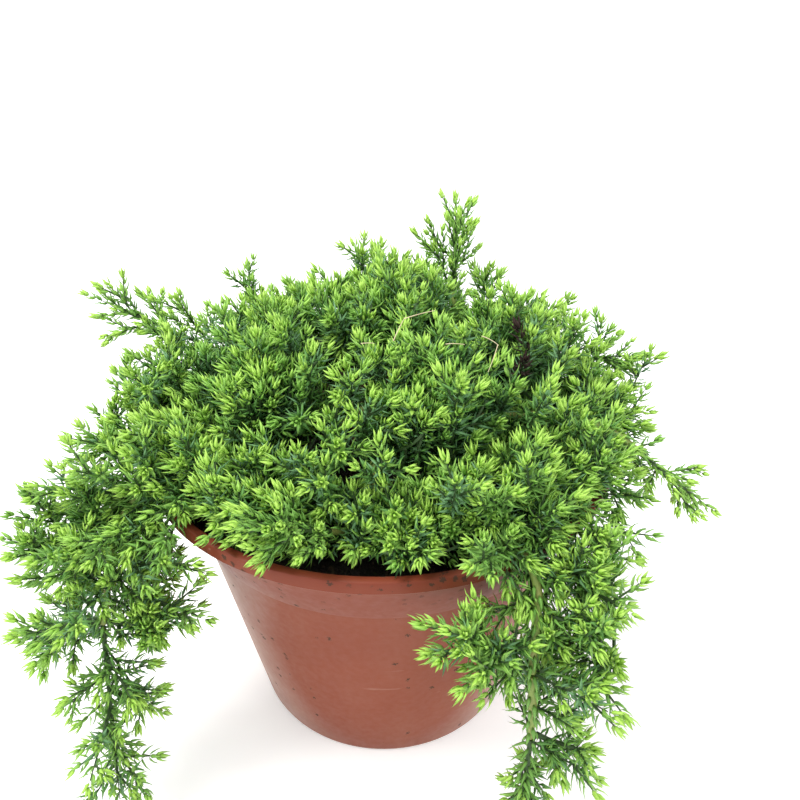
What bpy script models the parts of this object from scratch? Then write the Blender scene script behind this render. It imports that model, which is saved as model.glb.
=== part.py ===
"""A Japanese garden juniper, a low creeping conifer, in a round nursery pot.

Metres, +Z up, +X to the right of the front view and -Y towards its viewer. The origin
is the middle of the pot's flat foot. Plan angles are in degrees from the front, turning
to the right. A mass of foliage keeps to its own egg-shaped space: one stem, twigs that
branch off it by a seeded rule, and toothed sprays of needles at their ends.
"""

import collections
import math
import random

import bmesh
import bpy
from mathutils import Matrix, Vector

# The pot
POT_HEIGHT = 0.115
RIM_RADIUS = 0.0851
LIP_HEIGHT = 0.0045
LIP_STEP = 0.0012
LIP_WIDTH = 0.0030
COLLAR_HEIGHT = 0.026
COLLAR_FOOT_RADIUS = 0.0723
WALL_TOP_RADIUS = 0.0710
BASE_RADIUS = 0.0539
WALL = 0.0015
FLOOR = 0.0018
EDGE = 0.0006
POT_SIDES = 36
DRAIN_HOLES = 8
DRAIN_RADIUS = 0.004
DRAIN_RING = 0.038
DRAIN_SIDES = 8

# The compost
SOIL_TOP = 0.106
SOIL_CROWN_RADIUS = 0.013
SOIL_DIP_RADIUS = 0.045
SOIL_DIP = 0.0020
SOIL_SHOULDER = 0.012
SOIL_EDGE_DROP = 0.003
SOIL_SIDES = 24

# The trunk and its boughs
GAP = 0.0003
TRUNK_FOOT = SOIL_TOP + GAP
TRUNK_TOP = 0.1375
TRUNK_RADIUS = 0.0072
TRUNK_TIP_RADIUS = 0.0048
FLARE_RADIUS = 0.0112
FLARE_HEIGHT = 0.006
TRUNK_LEAN = Vector((0.0015, 0.0020, 0.0))
TRUNK_STEPS = 3
TRUNK_SIDES = 10
TRUNK_CLEAR = 0.0006
BOUGH_STEPS = 4
BOUGH_SIDES = 6
BOUGH_BEND = 0.38
LOWER_RADIUS = 0.0021
UPPER_RADIUS = 0.0019
SHOOT_RADIUS = 0.0016
TRAILING_RADIUS = 0.0018
STEM_ROOT_RADIUS = 0.0014
BOUGH_TIP_RADIUS = 0.0010
DROOP = 0.4
BEFORE_TIP = 0.0010

# The heights at which boughs leave the trunk
LOWER_FORK = 0.1150
MIDDLE_FORK = 0.1215
UPPER_FORK = 0.1285

# Twigs and sprays
STEM_RADIUS = 0.0009
TWIG_RADIUS = 0.0008
TWIG_TIP_RADIUS = 0.0005
LEAST_TWIG = 0.002
LAST_STATION = 0.92
GOLDEN_TURN = math.radians(137.508)
TURN_PLAY = 0.2
SPRAY_SIDES = 3
SPRAY_ROOT = 0.0035
SPRAY_ASIDE = 0.0003
TEETH = (0.50, 0.58)
BETWEEN_TEETH = (0.21, 0.70)
LIFT = 0.22
FIRST_FORK = 6.0
SECOND_FORK = (36.0, 46.0)
SPRAY_PLAY = 0.12
LEADER_SHORT = 0.75
TWIG_SHORT = 0.8
LEAST_RUN = 0.5
LEAST_SPRAY = 0.55
ROLLS = 4
FRESH_ROLLS = 8

# How a mass grows: its sprays, the share of the leader that is bare, the angles in
# degrees at which its lowest and highest twigs leave the leader, and its twigs
Habit = collections.namedtuple("Habit", "spray_length spray_width bare lowest highest twigs")
LOWER_HABIT = Habit(0.0245, 0.0190, 0.30, 88.0, 38.0, 12)
UPPER_HABIT = LOWER_HABIT._replace(twigs=11)
TRAILING_HABIT = Habit(0.0190, 0.0125, 0.12, 58.0, 34.0, 7)
SHOOT_HABIT = TRAILING_HABIT._replace(twigs=5)

# The spaces that masses keep to
SPACE_MARGIN = 0.040
LIMB_CLEAR = 0.0010
POT_CLEAR = 0.0006
RIM_ZONE = 0.068
HANG_CLEAR = 0.004
STEP = 0.0010
FIT_STEPS = 4
ROOT_SHARE = 0.7
SLIVER = 0.0000005
CORE_SHARE = 0.74
CORE_BUMP = 0.12
CORE_CLEAR = 0.0065
CORE_KEEP_OUT = 1.18
UP = Vector((0.0, 0.0, 1.0))


def clear_scene():
    for obj in list(bpy.data.objects):
        bpy.data.objects.remove(obj, do_unlink=True)


def make_collection(name):
    collection = bpy.data.collections.new(name)
    bpy.context.scene.collection.children.link(collection)
    return collection


def make_material(name, colour, roughness):
    material = bpy.data.materials.new(name)
    material.use_nodes = True
    shader = material.node_tree.nodes["Principled BSDF"]
    shader.inputs["Base Color"].default_value = (*colour, 1.0)
    shader.inputs["Roughness"].default_value = roughness
    shader.inputs["Metallic"].default_value = 0.0
    material.diffuse_color = (*colour, 1.0)
    return material


def bearing(azimuth, reach, height):
    """The point at a plan angle from the front, so far from the middle and so high."""
    angle = math.radians(azimuth)
    return Vector((reach * math.sin(angle), -reach * math.cos(angle), height))


def between(low, high, share):
    return low + (high - low) * share


def place_mesh(name, bm, collection, material):
    mesh = bpy.data.meshes.new(name)
    bm.to_mesh(mesh)
    bm.free()
    obj = bpy.data.objects.new(name, mesh)
    collection.objects.link(obj)
    if material:
        mesh.materials.append(material)
    return obj


# Pot and compost


def wall_radius(height):
    """The outer radius of the pot's wall and collar, without its lip."""
    collar_foot = POT_HEIGHT - COLLAR_HEIGHT
    if height < collar_foot:
        return between(BASE_RADIUS, WALL_TOP_RADIUS, height / collar_foot)
    share = (height - collar_foot) / COLLAR_HEIGHT
    return between(COLLAR_FOOT_RADIUS, RIM_RADIUS - LIP_STEP, share)


def turned(name, profile, sides, collection, material):
    """A solid turned about Z from (radius, height) points that end down the outer side."""
    mesh = bpy.data.meshes.new(name)
    points = [(radius, 0.0, height) for radius, height in profile]
    edges = [(i, i + 1) for i in range(len(points) - 1)]
    mesh.from_pydata(points, edges, [])
    mesh.materials.append(material)
    obj = bpy.data.objects.new(name, mesh)
    collection.objects.link(obj)
    screw = obj.modifiers.new("Turn", "SCREW")
    screw.steps = sides
    screw.render_steps = sides
    screw.use_merge_vertices = True
    screw.merge_threshold = 0.00005
    return obj


def make_pot(collection, cutters, material):
    collar_foot = POT_HEIGHT - COLLAR_HEIGHT
    lip_foot = POT_HEIGHT - LIP_HEIGHT
    inner = [
        (0.0, FLOOR),
        (BASE_RADIUS - WALL - EDGE, FLOOR),
        (wall_radius(collar_foot - EDGE) - WALL, collar_foot - EDGE),
        (wall_radius(collar_foot + EDGE) - WALL, collar_foot + EDGE),
        (RIM_RADIUS - LIP_WIDTH, POT_HEIGHT - EDGE),
        (RIM_RADIUS - LIP_WIDTH + EDGE, POT_HEIGHT),
    ]
    outer = [
        (RIM_RADIUS - EDGE, POT_HEIGHT),
        (RIM_RADIUS, POT_HEIGHT - EDGE),
        (RIM_RADIUS - EDGE, lip_foot),
        (wall_radius(lip_foot - EDGE), lip_foot - EDGE),
        (COLLAR_FOOT_RADIUS, collar_foot),
        (WALL_TOP_RADIUS, collar_foot - EDGE),
        (BASE_RADIUS, 2 * EDGE),
        (BASE_RADIUS - 2 * EDGE, 0.0),
        (0.0, 0.0),
    ]
    pot = turned("pot", inner + outer, POT_SIDES, collection, material)
    for i in range(DRAIN_HOLES):
        bm = bmesh.new()
        bmesh.ops.create_cone(
            bm,
            cap_ends=True,
            segments=DRAIN_SIDES,
            radius1=DRAIN_RADIUS,
            radius2=DRAIN_RADIUS,
            depth=4 * FLOOR,
        )
        cutter = place_mesh(f"drain_hole_cutter_{i + 1}", bm, cutters, None)
        cutter.location = bearing(360 * (i + 0.5) / DRAIN_HOLES, DRAIN_RING, 0.0)
        cutter.hide_render = True
        cutter.display_type = "WIRE"
    holes = pot.modifiers.new("Drain holes", "BOOLEAN")
    holes.operation = "DIFFERENCE"
    holes.operand_type = "COLLECTION"
    holes.collection = cutters
    holes.solver = "EXACT"


def make_soil(collection, material):
    collar_foot = POT_HEIGHT - COLLAR_HEIGHT
    side = WALL + GAP
    edge_top = SOIL_TOP - SOIL_EDGE_DROP
    profile = [
        (0.0, SOIL_TOP),
        (SOIL_CROWN_RADIUS, SOIL_TOP),
        (SOIL_DIP_RADIUS, SOIL_TOP - SOIL_DIP),
        (wall_radius(SOIL_TOP) - side - SOIL_SHOULDER, SOIL_TOP - SOIL_DIP / 2),
        (wall_radius(edge_top) - side - EDGE, edge_top),
        (wall_radius(collar_foot + EDGE) - side - EDGE, collar_foot + EDGE),
        (wall_radius(collar_foot - EDGE) - side - EDGE, collar_foot - EDGE),
        (BASE_RADIUS - side - 2 * EDGE, FLOOR + GAP),
        (0.0, FLOOR + GAP),
    ]
    turned("soil", profile, SOIL_SIDES, collection, material)


# Trunk and boughs


def trunk_centre(height):
    """The middle of the trunk, upright in its flare and leaning above it."""
    share = (height - TRUNK_FOOT - FLARE_HEIGHT) / (TRUNK_TOP - TRUNK_FOOT - FLARE_HEIGHT)
    return TRUNK_LEAN * max(share, 0.0) + UP * height


def trunk_radius(height):
    share = (height - TRUNK_FOOT) / (TRUNK_TOP - TRUNK_FOOT)
    flare = max(0.0, 1.0 - (height - TRUNK_FOOT) / FLARE_HEIGHT) ** 2
    return between(TRUNK_RADIUS, TRUNK_TIP_RADIUS, share) + (FLARE_RADIUS - TRUNK_RADIUS) * flare


def make_limb(name, points, radii, sides, collection, material):
    """A tapering limb: a curve through its points with a round section and closed ends."""
    curve = bpy.data.curves.new(name, "CURVE")
    curve.dimensions = "3D"
    curve.bevel_depth = 1.0
    curve.bevel_resolution = sides // 2 - 2
    curve.use_fill_caps = True
    spline = curve.splines.new("POLY")
    spline.points.add(len(points) - 1)
    for spot, point, radius in zip(spline.points, points, radii):
        spot.co = (*point, 1.0)
        spot.radius = radius
    curve.materials.append(material)
    obj = bpy.data.objects.new(name, curve)
    collection.objects.link(obj)
    return obj


class Bough:
    """One tapering limb, bent like a spline from its root's heading to its tip's."""

    def __init__(self, name, root, leaving, tip, arriving, root_radius):
        self.name = name
        self.points = []
        self.radii = []
        reach = BOUGH_BEND * (tip - root).length
        after_root = root + leaving.normalized() * reach
        before_tip = tip - arriving.normalized() * reach
        for i in range(BOUGH_STEPS + 1):
            share = i / BOUGH_STEPS
            rest = 1.0 - share
            self.points.append(
                root * rest**3
                + after_root * 3 * rest**2 * share
                + before_tip * 3 * rest * share**2
                + tip * share**3
            )
            self.radii.append(between(root_radius, BOUGH_TIP_RADIUS, share))

    def distance(self, point):
        """How far a point is from the limb's surface."""
        nearest = math.inf
        for i in range(BOUGH_STEPS):
            start = self.points[i]
            run = self.points[i + 1] - start
            share = min(max((point - start).dot(run) / run.length_squared, 0.0), 1.0)
            gap = (point - start - run * share).length - between(self.radii[i], self.radii[i + 1], share)
            nearest = min(nearest, gap)
        return nearest


def bough_from_trunk(name, azimuth, fork, tip, arriving, radius):
    """A bough that leaves the trunk level, at a plan angle and height."""
    out = bearing(azimuth, 1.0, 0.0)
    root = trunk_centre(fork) + out * (trunk_radius(fork - radius) + TRUNK_CLEAR)
    return Bough(name, root, out, tip, arriving, radius)


# Masses of foliage


class Mass:
    """The space of one mass of foliage, from where its stem starts to its furthest tip."""

    def __init__(self, name, start, tip, half_width, habit):
        self.name = name
        self.start = start
        self.tip = tip
        self.middle = (start + tip) / 2
        self.along = (tip - start).normalized()
        self.half_length = (tip - start).length / 2
        self.half_width = half_width
        self.habit = habit
        self.dense = habit in (LOWER_HABIT, UPPER_HABIT)

    def score(self, point):
        """0 in the middle of the space and 1 at its edge."""
        offset = point - self.middle
        run = offset.dot(self.along)
        across = (offset - self.along * run).length
        return math.hypot(run / self.half_length, across / self.half_width)


def clear_of_pot(point, hanging):
    """Whether a point is above the compost and the rim, or hangs well outside the rim."""
    reach = math.hypot(point.x, point.y)
    if reach < RIM_ZONE:
        return point.z > SOIL_TOP + POT_CLEAR
    if hanging and reach > RIM_RADIUS + HANG_CLEAR:
        return point.z > POT_CLEAR
    return point.z > POT_HEIGHT + POT_CLEAR


class Plant:
    """All limbs and spaces, so that each mass can be kept clear of the others."""

    def __init__(self, boughs, masses):
        self.boughs = boughs
        self.masses = masses

    def free(self, mass, point, limb_clear=LIMB_CLEAR, hanging=True, keep_out=1.0):
        """Whether a point is a mass's own: nearer to it than to its equals, clear of the rest.

        The open shoots and trailing twigs come first, and dense masses leave them room.
        """
        own = mass.score(point)
        if own > 1.0 or not clear_of_pot(point, hanging):
            return False
        for other in self.masses:
            if other is mass or (other.dense and not mass.dense):
                continue
            limit = own + SPACE_MARGIN if other.dense == mass.dense else keep_out
            if other.score(point) < limit:
                return False
        height = min(max(point.z, TRUNK_FOOT), TRUNK_TOP)
        if (point - trunk_centre(height)).length < trunk_radius(height) + limb_clear:
            return False
        return all(bough.distance(point) > limb_clear for bough in self.boughs)

    def free_run(self, mass, origin, direction, most, **clear):
        """How far one can go from a point before leaving the mass's own space."""
        run = 0.0
        while run < most and self.free(mass, origin + direction * (run + STEP), **clear):
            run += STEP
        return min(run, most)


def tilted(direction, angle, roll):
    """A direction at an angle from another, turned about it by the roll."""
    side = direction.orthogonal().normalized()
    side.rotate(Matrix.Rotation(roll, 3, direction))
    return (direction * math.cos(angle) + side * math.sin(angle)).normalized()


def grow(plant, mass, first_roll):
    """The rods (start, end, radii) and sprays (root, direction, sizes, roll) of one mass.

    A leader runs up the middle of the space. Twigs leave it one after another, each
    turned by the golden angle and wider open near the foot, and fork into sprays that
    turn up to the light. A twig or spray with no room in the space is left out.
    """
    seed = random.Random(mass.name)
    habit = mass.habit
    leader_length = 2 * mass.half_length - LEADER_SHORT * habit.spray_length
    leader_end = mass.start + mass.along * leader_length
    rods = [(mass.start, leader_end, STEM_RADIUS, TWIG_TIP_RADIUS)]
    ends = [(leader_end, mass.along)]
    roll = seed.uniform(0.0, math.tau)
    for i in range(habit.twigs):
        share = (i + 0.5) / habit.twigs
        station = mass.start + mass.along * leader_length * between(habit.bare, LAST_STATION, share)
        roll += GOLDEN_TURN + seed.uniform(-TURN_PLAY, TURN_PLAY)
        angle = math.radians(between(habit.lowest, habit.highest, share))
        direction = tilted(mass.along, angle, roll)
        run = plant.free_run(mass, station, direction, 2 * mass.half_width)
        if run < LEAST_RUN * habit.spray_length:
            continue
        end = station + direction * max(run - TWIG_SHORT * habit.spray_length, LEAST_TWIG)
        rods.append((station, end, TWIG_RADIUS, TWIG_TIP_RADIUS))
        ends.append((end, direction))
    sprays = []
    for i, (end, direction) in enumerate(ends):
        turn = seed.uniform(0.0, math.tau)
        for fork in range(1 + i % 2):
            angle = math.radians(seed.uniform(*SECOND_FORK) if fork else FIRST_FORK)
            lean = tilted(direction, angle, turn + math.pi * fork)
            lean = (lean + UP * LIFT).normalized()
            length = seed.uniform(1.0 - SPRAY_PLAY, 1.0 + SPRAY_PLAY) * habit.spray_length
            aside = tilted(lean, math.pi / 2, seed.uniform(0.0, math.tau)) * SPRAY_ASIDE
            run = plant.free_run(mass, end, lean, length)
            if run < LEAST_SPRAY * habit.spray_length:
                continue
            spray = (end - lean * SPRAY_ROOT + aside, lean, run + SPRAY_ROOT, habit.spray_width)
            for j in range(ROLLS):
                roll = first_roll + math.tau * j / (SPRAY_SIDES * ROLLS)
                if spray_fits(plant, mass, spray_corners(*spray, roll)):
                    sprays.append((*spray, roll))
                    break
    return rods, sprays


def upright(direction):
    return direction.to_track_quat("Z", "Y").to_matrix().to_4x4()


def spray_corners(root, direction, length, width, roll):
    """The root, the ring of tooth tips, the ring of hollows between them and the tip."""
    turn = upright(direction).to_3x3()
    corners = [root]
    for ring, (share, level) in enumerate((TEETH, BETWEEN_TEETH)):
        for i in range(SPRAY_SIDES):
            angle = roll + math.tau * (i + 0.5 * ring) / SPRAY_SIDES
            side = Vector((math.cos(angle), math.sin(angle), 0.0)) * share * width
            corners.append(root + turn @ (side + UP * level * length))
    corners.append(root + direction * length)
    return corners


def spray_faces():
    """The corners of each triangle of a spray, anticlockwise from outside."""
    faces = []
    tip = 2 * SPRAY_SIDES + 1
    for i in range(SPRAY_SIDES):
        tooth = 1 + i
        next_tooth = 1 + (i + 1) % SPRAY_SIDES
        hollow = tooth + SPRAY_SIDES
        next_hollow = next_tooth + SPRAY_SIDES
        faces.append((0, next_tooth, tooth))
        faces.append((tooth, next_tooth, hollow))
        faces.append((hollow, next_tooth, next_hollow))
        faces.append((hollow, next_hollow, tip))
    return faces


def spray_fits(plant, mass, corners):
    """Whether all of a spray past its root keeps to its mass's own space."""
    for a, b, c in spray_faces():
        for i in range(FIT_STEPS + 1):
            for j in range(FIT_STEPS + 1 - i):
                share_a = i / FIT_STEPS
                share_b = j / FIT_STEPS
                share_c = 1.0 - share_a - share_b
                if a == 0 and share_a > ROOT_SHARE:
                    continue
                point = corners[a] * share_a + corners[b] * share_b + corners[c] * share_c
                if not plant.free(mass, point):
                    return False
    return True


def rod_mesh(start, end, radius, tip_radius, roll):
    """A three-sided twig."""
    bm = bmesh.new()
    length = (end - start).length
    bmesh.ops.create_cone(
        bm, cap_ends=True, segments=3, radius1=radius, radius2=tip_radius, depth=length
    )
    turn = upright(end - start) @ Matrix.Rotation(roll, 4, "Z")
    place = Matrix.Translation((start + end) / 2) @ turn
    bmesh.ops.transform(bm, matrix=place, verts=bm.verts)
    return bm


def spray_mesh(*spray):
    """A slim spindle with a ring of needle teeth that stand out round its middle."""
    bm = bmesh.new()
    verts = [bm.verts.new(corner) for corner in spray_corners(*spray)]
    for face in spray_faces():
        bm.faces.new([verts[i] for i in face])
    return bm


def core_mesh(plant, mass):
    """The closed and uneven inner part of a dense mass, pulled in where its space ends."""
    bm = bmesh.new()
    bmesh.ops.create_icosphere(bm, subdivisions=2, radius=1.0)
    seed = random.Random(mass.name)
    turn = upright(mass.along).to_3x3()
    for vert in bm.verts:
        scale = Vector((mass.half_width, mass.half_width, mass.half_length))
        share = CORE_SHARE * seed.uniform(1.0 - CORE_BUMP, 1.0 + CORE_BUMP)
        full = turn @ (vert.co * scale) * share
        direction = full.normalized()
        run = plant.free_run(
            mass,
            mass.middle,
            direction,
            full.length,
            limb_clear=CORE_CLEAR,
            hanging=False,
            keep_out=CORE_KEEP_OUT,
        )
        vert.co = mass.middle + direction * max(run, 2 * STEP)
    return bm


def keep_largest_body(bm):
    """Drops the loose scraps and the walls of sealed hollows that a union can leave."""
    waiting = set(bm.faces)
    bodies = []
    while waiting:
        body = [waiting.pop()]
        for face in body:
            for edge in face.edges:
                for other in edge.link_faces:
                    if other in waiting:
                        waiting.remove(other)
                        body.append(other)
        bodies.append(body)
    bodies.sort(key=len)
    scraps = [face for body in bodies[:-1] for face in body]
    bmesh.ops.delete(bm, geom=scraps, context="FACES")


def is_sound(bm):
    """Whether each edge joins two faces and no two points lie closer than a sliver."""
    if any(len(edge.link_faces) != 2 for edge in bm.edges):
        return False
    close = bmesh.ops.find_doubles(bm, verts=bm.verts, dist=SLIVER)
    return not close["targetmap"]


def fuse(name, pieces):
    """One solid out of the overlapping pieces, by one union on a collection."""
    loose = make_collection(name + "_pieces")
    objects = [place_mesh(f"{name}_piece_{i}", bm, loose, None) for i, bm in enumerate(pieces)]
    base = objects[0]
    loose.objects.unlink(base)
    bpy.context.scene.collection.objects.link(base)
    union = base.modifiers.new("Union", "BOOLEAN")
    union.operation = "UNION"
    union.operand_type = "COLLECTION"
    union.collection = loose
    union.solver = "EXACT"
    graph = bpy.context.evaluated_depsgraph_get()
    fused = base.evaluated_get(graph).to_mesh()
    bm = bmesh.new()
    bm.from_mesh(fused)
    for obj in objects:
        bpy.data.objects.remove(obj, do_unlink=True)
    bpy.data.collections.remove(loose)
    keep_largest_body(bm)
    return bm


def make_mass(plant, mass, collection, material):
    """Fuses a mass, with its sprays rolled afresh where the union leaves a sliver."""
    for attempt in range(FRESH_ROLLS):
        rods, sprays = grow(plant, mass, attempt)
        pieces = [rod_mesh(*rod, i * GOLDEN_TURN + attempt) for i, rod in enumerate(rods)]
        if mass.dense:
            pieces.append(core_mesh(plant, mass))
        pieces += [spray_mesh(*spray) for spray in sprays]
        bm = fuse(mass.name, pieces)
        if is_sound(bm):
            break
    place_mesh(mass.name, bm, collection, material)


# The layout of the plant

LOWER_RING = (
    # name, plan angle, furthest reach, height of the tip, half width
    ("front", 8, 0.099, 0.121, 0.040),
    ("front_right", 50, 0.110, 0.124, 0.042),
    ("right", 88, 0.115, 0.122, 0.040),
    ("back_right", 126, 0.112, 0.132, 0.042),
    ("back", 172, 0.107, 0.128, 0.044),
    ("back_left", 225, 0.107, 0.132, 0.044),
    ("left", 272, 0.122, 0.126, 0.043),
    ("front_left", 323, 0.097, 0.119, 0.042),
)
UPPER_RING = (
    ("front", 20, 0.074, 0.152, 0.039),
    ("right", 96, 0.082, 0.156, 0.038),
    ("back", 172, 0.080, 0.158, 0.038),
    ("back_left", 238, 0.080, 0.156, 0.038),
    ("left", 304, 0.076, 0.152, 0.040),
)
SHOOTS = (
    # name, plan angle of the bough, start and tip of the shoot, half width
    ("top", 138, (0.028, 0.036, 0.157), (0.028, 0.046, 0.196), 0.012),
    ("upper_left", 243, (-0.068, 0.036, 0.130), (-0.120, 0.036, 0.156), 0.018),
    ("right", 105, (0.076, 0.020, 0.134), (0.104, 0.012, 0.140), 0.011),
    ("far_right", 71, (0.088, -0.030, 0.122), (0.120, -0.037, 0.090), 0.012),
    ("front", 348, (-0.014, -0.069, 0.120), (-0.038, -0.087, 0.136), 0.013),
    ("left", 270, (-0.066, -0.0165, 0.130), (-0.108, -0.036, 0.121), 0.014),
)
# Each trailing branch: the plan angle at which it crosses the rim, the joints of its
# limb past the rim, and its masses (name, joint it leaves, way it turns off, tip, half width)
TRAILING = {
    "left": (
        300,
        ((-0.0915, -0.062, 0.076),),
        (
            ("upper", 0, (-0.7, 0.7, 0.1), (-0.118, -0.052, 0.088), 0.027),
            ("inner", 1, (1.0, -0.2, 0.0), (-0.054, -0.069, 0.078), 0.018),
            ("outer", 1, (-1.0, 0.1, 0.0), (-0.122, -0.057, 0.060), 0.016),
            ("tip", 1, None, (-0.089, -0.087, 0.010), 0.020),
        ),
    ),
    "right": (
        29,
        ((0.0445, -0.0905, 0.086), (0.0460, -0.0920, 0.060)),
        (
            ("outer", 0, (1.0, 0.2, 0.0), (0.086, -0.081, 0.090), 0.026),
            ("inner", 1, (-1.0, 0.0, 0.1), (0.014, -0.097, 0.113), 0.015),
            ("lower", 2, (1.0, 0.1, 0.0), (0.082, -0.090, 0.036), 0.020),
            ("tip", 2, None, (0.045, -0.097, 0.010), 0.014),
        ),
    ),
}
TOP_TIP = (0.004, 0.022, 0.186)
TOP_HALF_WIDTH = 0.043
LOWER_START = (0.036, 0.121)
UPPER_START = (0.018, 0.142)


def ring_parts(level, ring, ring_start, fork, bough_radius, habit):
    """A ring of boughs from one height of the trunk, each with its mass of foliage."""
    boughs = []
    masses = []
    for name, azimuth, reach, height, half_width in ring:
        start = bearing(azimuth, *ring_start)
        tip = bearing(azimuth, reach, height)
        mass = Mass(f"foliage_{level}_{name}", start, tip, half_width, habit)
        end = start - mass.along * GAP
        boughs.append(
            bough_from_trunk(f"bough_{level}_{name}", azimuth, fork, end, mass.along, bough_radius)
        )
        masses.append(mass)
    return boughs, masses


def shoot_parts():
    """The lone shoots that stand out of the crown, each on its own thin bough."""
    boughs = []
    masses = []
    for name, azimuth, start, tip, half_width in SHOOTS:
        mass = Mass(f"shoot_{name}", Vector(start), Vector(tip), half_width, SHOOT_HABIT)
        end = mass.start - mass.along * GAP
        bough = f"bough_shoot_{name}"
        boughs.append(bough_from_trunk(bough, azimuth, MIDDLE_FORK, end, mass.along, SHOOT_RADIUS))
        masses.append(mass)
    return boughs, masses


def trailing_parts():
    """The two branches that hang over the rim, each a limb split where it turns down."""
    boughs = []
    masses = []
    for side, (azimuth, joints, twigs) in TRAILING.items():
        out = bearing(azimuth, 1.0, 0.0)
        over_rim = bearing(azimuth, RIM_RADIUS + 2 * GAP, POT_HEIGHT + 2 * GAP + TRAILING_RADIUS)
        bough = f"bough_trailing_{side}"
        boughs.append(bough_from_trunk(bough, azimuth, MIDDLE_FORK, over_rim, out, TRAILING_RADIUS))
        ends = [(over_rim, (out - UP * DROOP).normalized())]
        for i, joint in enumerate(joints):
            start, heading = ends[-1]
            root = start + heading * 3 * GAP
            joint = Vector(joint)
            arriving = ((joint - root).normalized() - UP * DROOP).normalized()
            stem = f"stem_trailing_{side}_{i + 1}"
            boughs.append(Bough(stem, root, heading, joint, arriving, STEM_ROOT_RADIUS))
            ends.append((joint, arriving))
        for name, joint, way, tip, half_width in twigs:
            start, heading = ends[joint]
            offset = heading * 3 * GAP
            if way:
                way = Vector(way).normalized()
                spread = STEM_RADIUS * way.cross((Vector(tip) - start).normalized()).length
                offset = way * (BOUGH_TIP_RADIUS + GAP + spread) - heading * BEFORE_TIP
            mass = f"foliage_trailing_{side}_{name}"
            masses.append(Mass(mass, start + offset, Vector(tip), half_width, TRAILING_HABIT))
    return boughs, masses


def main():
    clear_scene()
    plant_collection = make_collection("potted_garden_juniper")
    cutters = make_collection("cutters")
    terracotta = make_material("terracotta_plastic", (0.36, 0.12, 0.065), 0.45)
    compost = make_material("compost", (0.02, 0.014, 0.010), 0.95)
    bark = make_material("juniper_bark", (0.20, 0.12, 0.07), 0.85)
    green_wood = make_material("green_stem", (0.30, 0.40, 0.10), 0.6)
    needles = make_material("juniper_needles", (0.16, 0.34, 0.06), 0.55)
    young_needles = make_material("young_needles", (0.38, 0.55, 0.08), 0.5)

    make_pot(plant_collection, cutters, terracotta)
    make_soil(plant_collection, compost)
    heights = [TRUNK_FOOT + FLARE_HEIGHT * i / TRUNK_STEPS for i in range(TRUNK_STEPS + 1)]
    flare_top = heights[-1]
    heights += [between(flare_top, TRUNK_TOP, (i + 1) / TRUNK_STEPS) for i in range(TRUNK_STEPS)]
    centres = [trunk_centre(height) for height in heights]
    radii = [trunk_radius(height) for height in heights]
    make_limb("trunk", centres, radii, TRUNK_SIDES, plant_collection, bark)

    lower = ring_parts("lower", LOWER_RING, LOWER_START, LOWER_FORK, LOWER_RADIUS, LOWER_HABIT)
    upper = ring_parts("upper", UPPER_RING, UPPER_START, UPPER_FORK, UPPER_RADIUS, UPPER_HABIT)
    shoots = shoot_parts()
    trailing = trailing_parts()
    top_start = trunk_centre(TRUNK_TOP) + UP * GAP
    top = Mass("foliage_top", top_start, Vector(TOP_TIP), TOP_HALF_WIDTH, UPPER_HABIT)
    boughs = lower[0] + upper[0] + shoots[0] + trailing[0]
    masses = [top] + lower[1] + upper[1] + shoots[1] + trailing[1]
    for bough in boughs:
        wood = green_wood if "trailing" in bough.name or "shoot" in bough.name else bark
        make_limb(bough.name, bough.points, bough.radii, BOUGH_SIDES, plant_collection, wood)
    plant = Plant(boughs, masses)
    for mass in masses:
        shade = young_needles if mass.name.startswith("shoot") else needles
        make_mass(plant, mass, plant_collection, shade)


main()
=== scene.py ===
import math
import random

import bpy
import numpy as np
from mathutils import Matrix, Vector, noise


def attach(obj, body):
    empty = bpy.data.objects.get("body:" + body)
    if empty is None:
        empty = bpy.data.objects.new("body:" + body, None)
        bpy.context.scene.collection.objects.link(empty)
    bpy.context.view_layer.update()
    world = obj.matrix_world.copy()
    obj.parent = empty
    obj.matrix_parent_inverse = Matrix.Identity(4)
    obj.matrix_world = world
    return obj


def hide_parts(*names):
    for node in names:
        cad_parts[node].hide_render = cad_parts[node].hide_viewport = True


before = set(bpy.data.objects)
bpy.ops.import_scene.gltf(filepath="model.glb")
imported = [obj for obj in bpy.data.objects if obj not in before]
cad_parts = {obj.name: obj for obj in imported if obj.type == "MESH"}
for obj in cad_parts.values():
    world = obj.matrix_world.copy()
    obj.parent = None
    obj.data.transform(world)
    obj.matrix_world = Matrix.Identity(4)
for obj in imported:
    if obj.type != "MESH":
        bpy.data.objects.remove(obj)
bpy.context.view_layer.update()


# The nursery pot: thin injection-moulded polypropylene in a dusty terracotta brown. A
# tapering wall, a deep collar that steps out over it, a small lip round the rim and
# eight drain holes in the foot. It is drawn up from its foot ring by ring.

POT_HEIGHT = 0.115
RIM_RADIUS = 0.0851
LIP_HEIGHT = 0.0045
LIP_STEP = 0.0012
LIP_WIDTH = 0.0030
COLLAR_HEIGHT = 0.026
COLLAR_FOOT_RADIUS = 0.0723
WALL_TOP_RADIUS = 0.0710
BASE_RADIUS = 0.0539
WALL = 0.0015
FLOOR = 0.0018
EDGE = 0.0006
POT_SIDES = 144
DRAIN_HOLES = 8
DRAIN_RADIUS = 0.004
DRAIN_RING = 0.038


def between(low, high, share):
    return low + (high - low) * share


def wall_radius(height):
    collar_foot = POT_HEIGHT - COLLAR_HEIGHT
    if height < collar_foot:
        return between(BASE_RADIUS, WALL_TOP_RADIUS, height / collar_foot)
    share = (height - collar_foot) / COLLAR_HEIGHT
    return between(COLLAR_FOOT_RADIUS, RIM_RADIUS - LIP_STEP, share)


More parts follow.
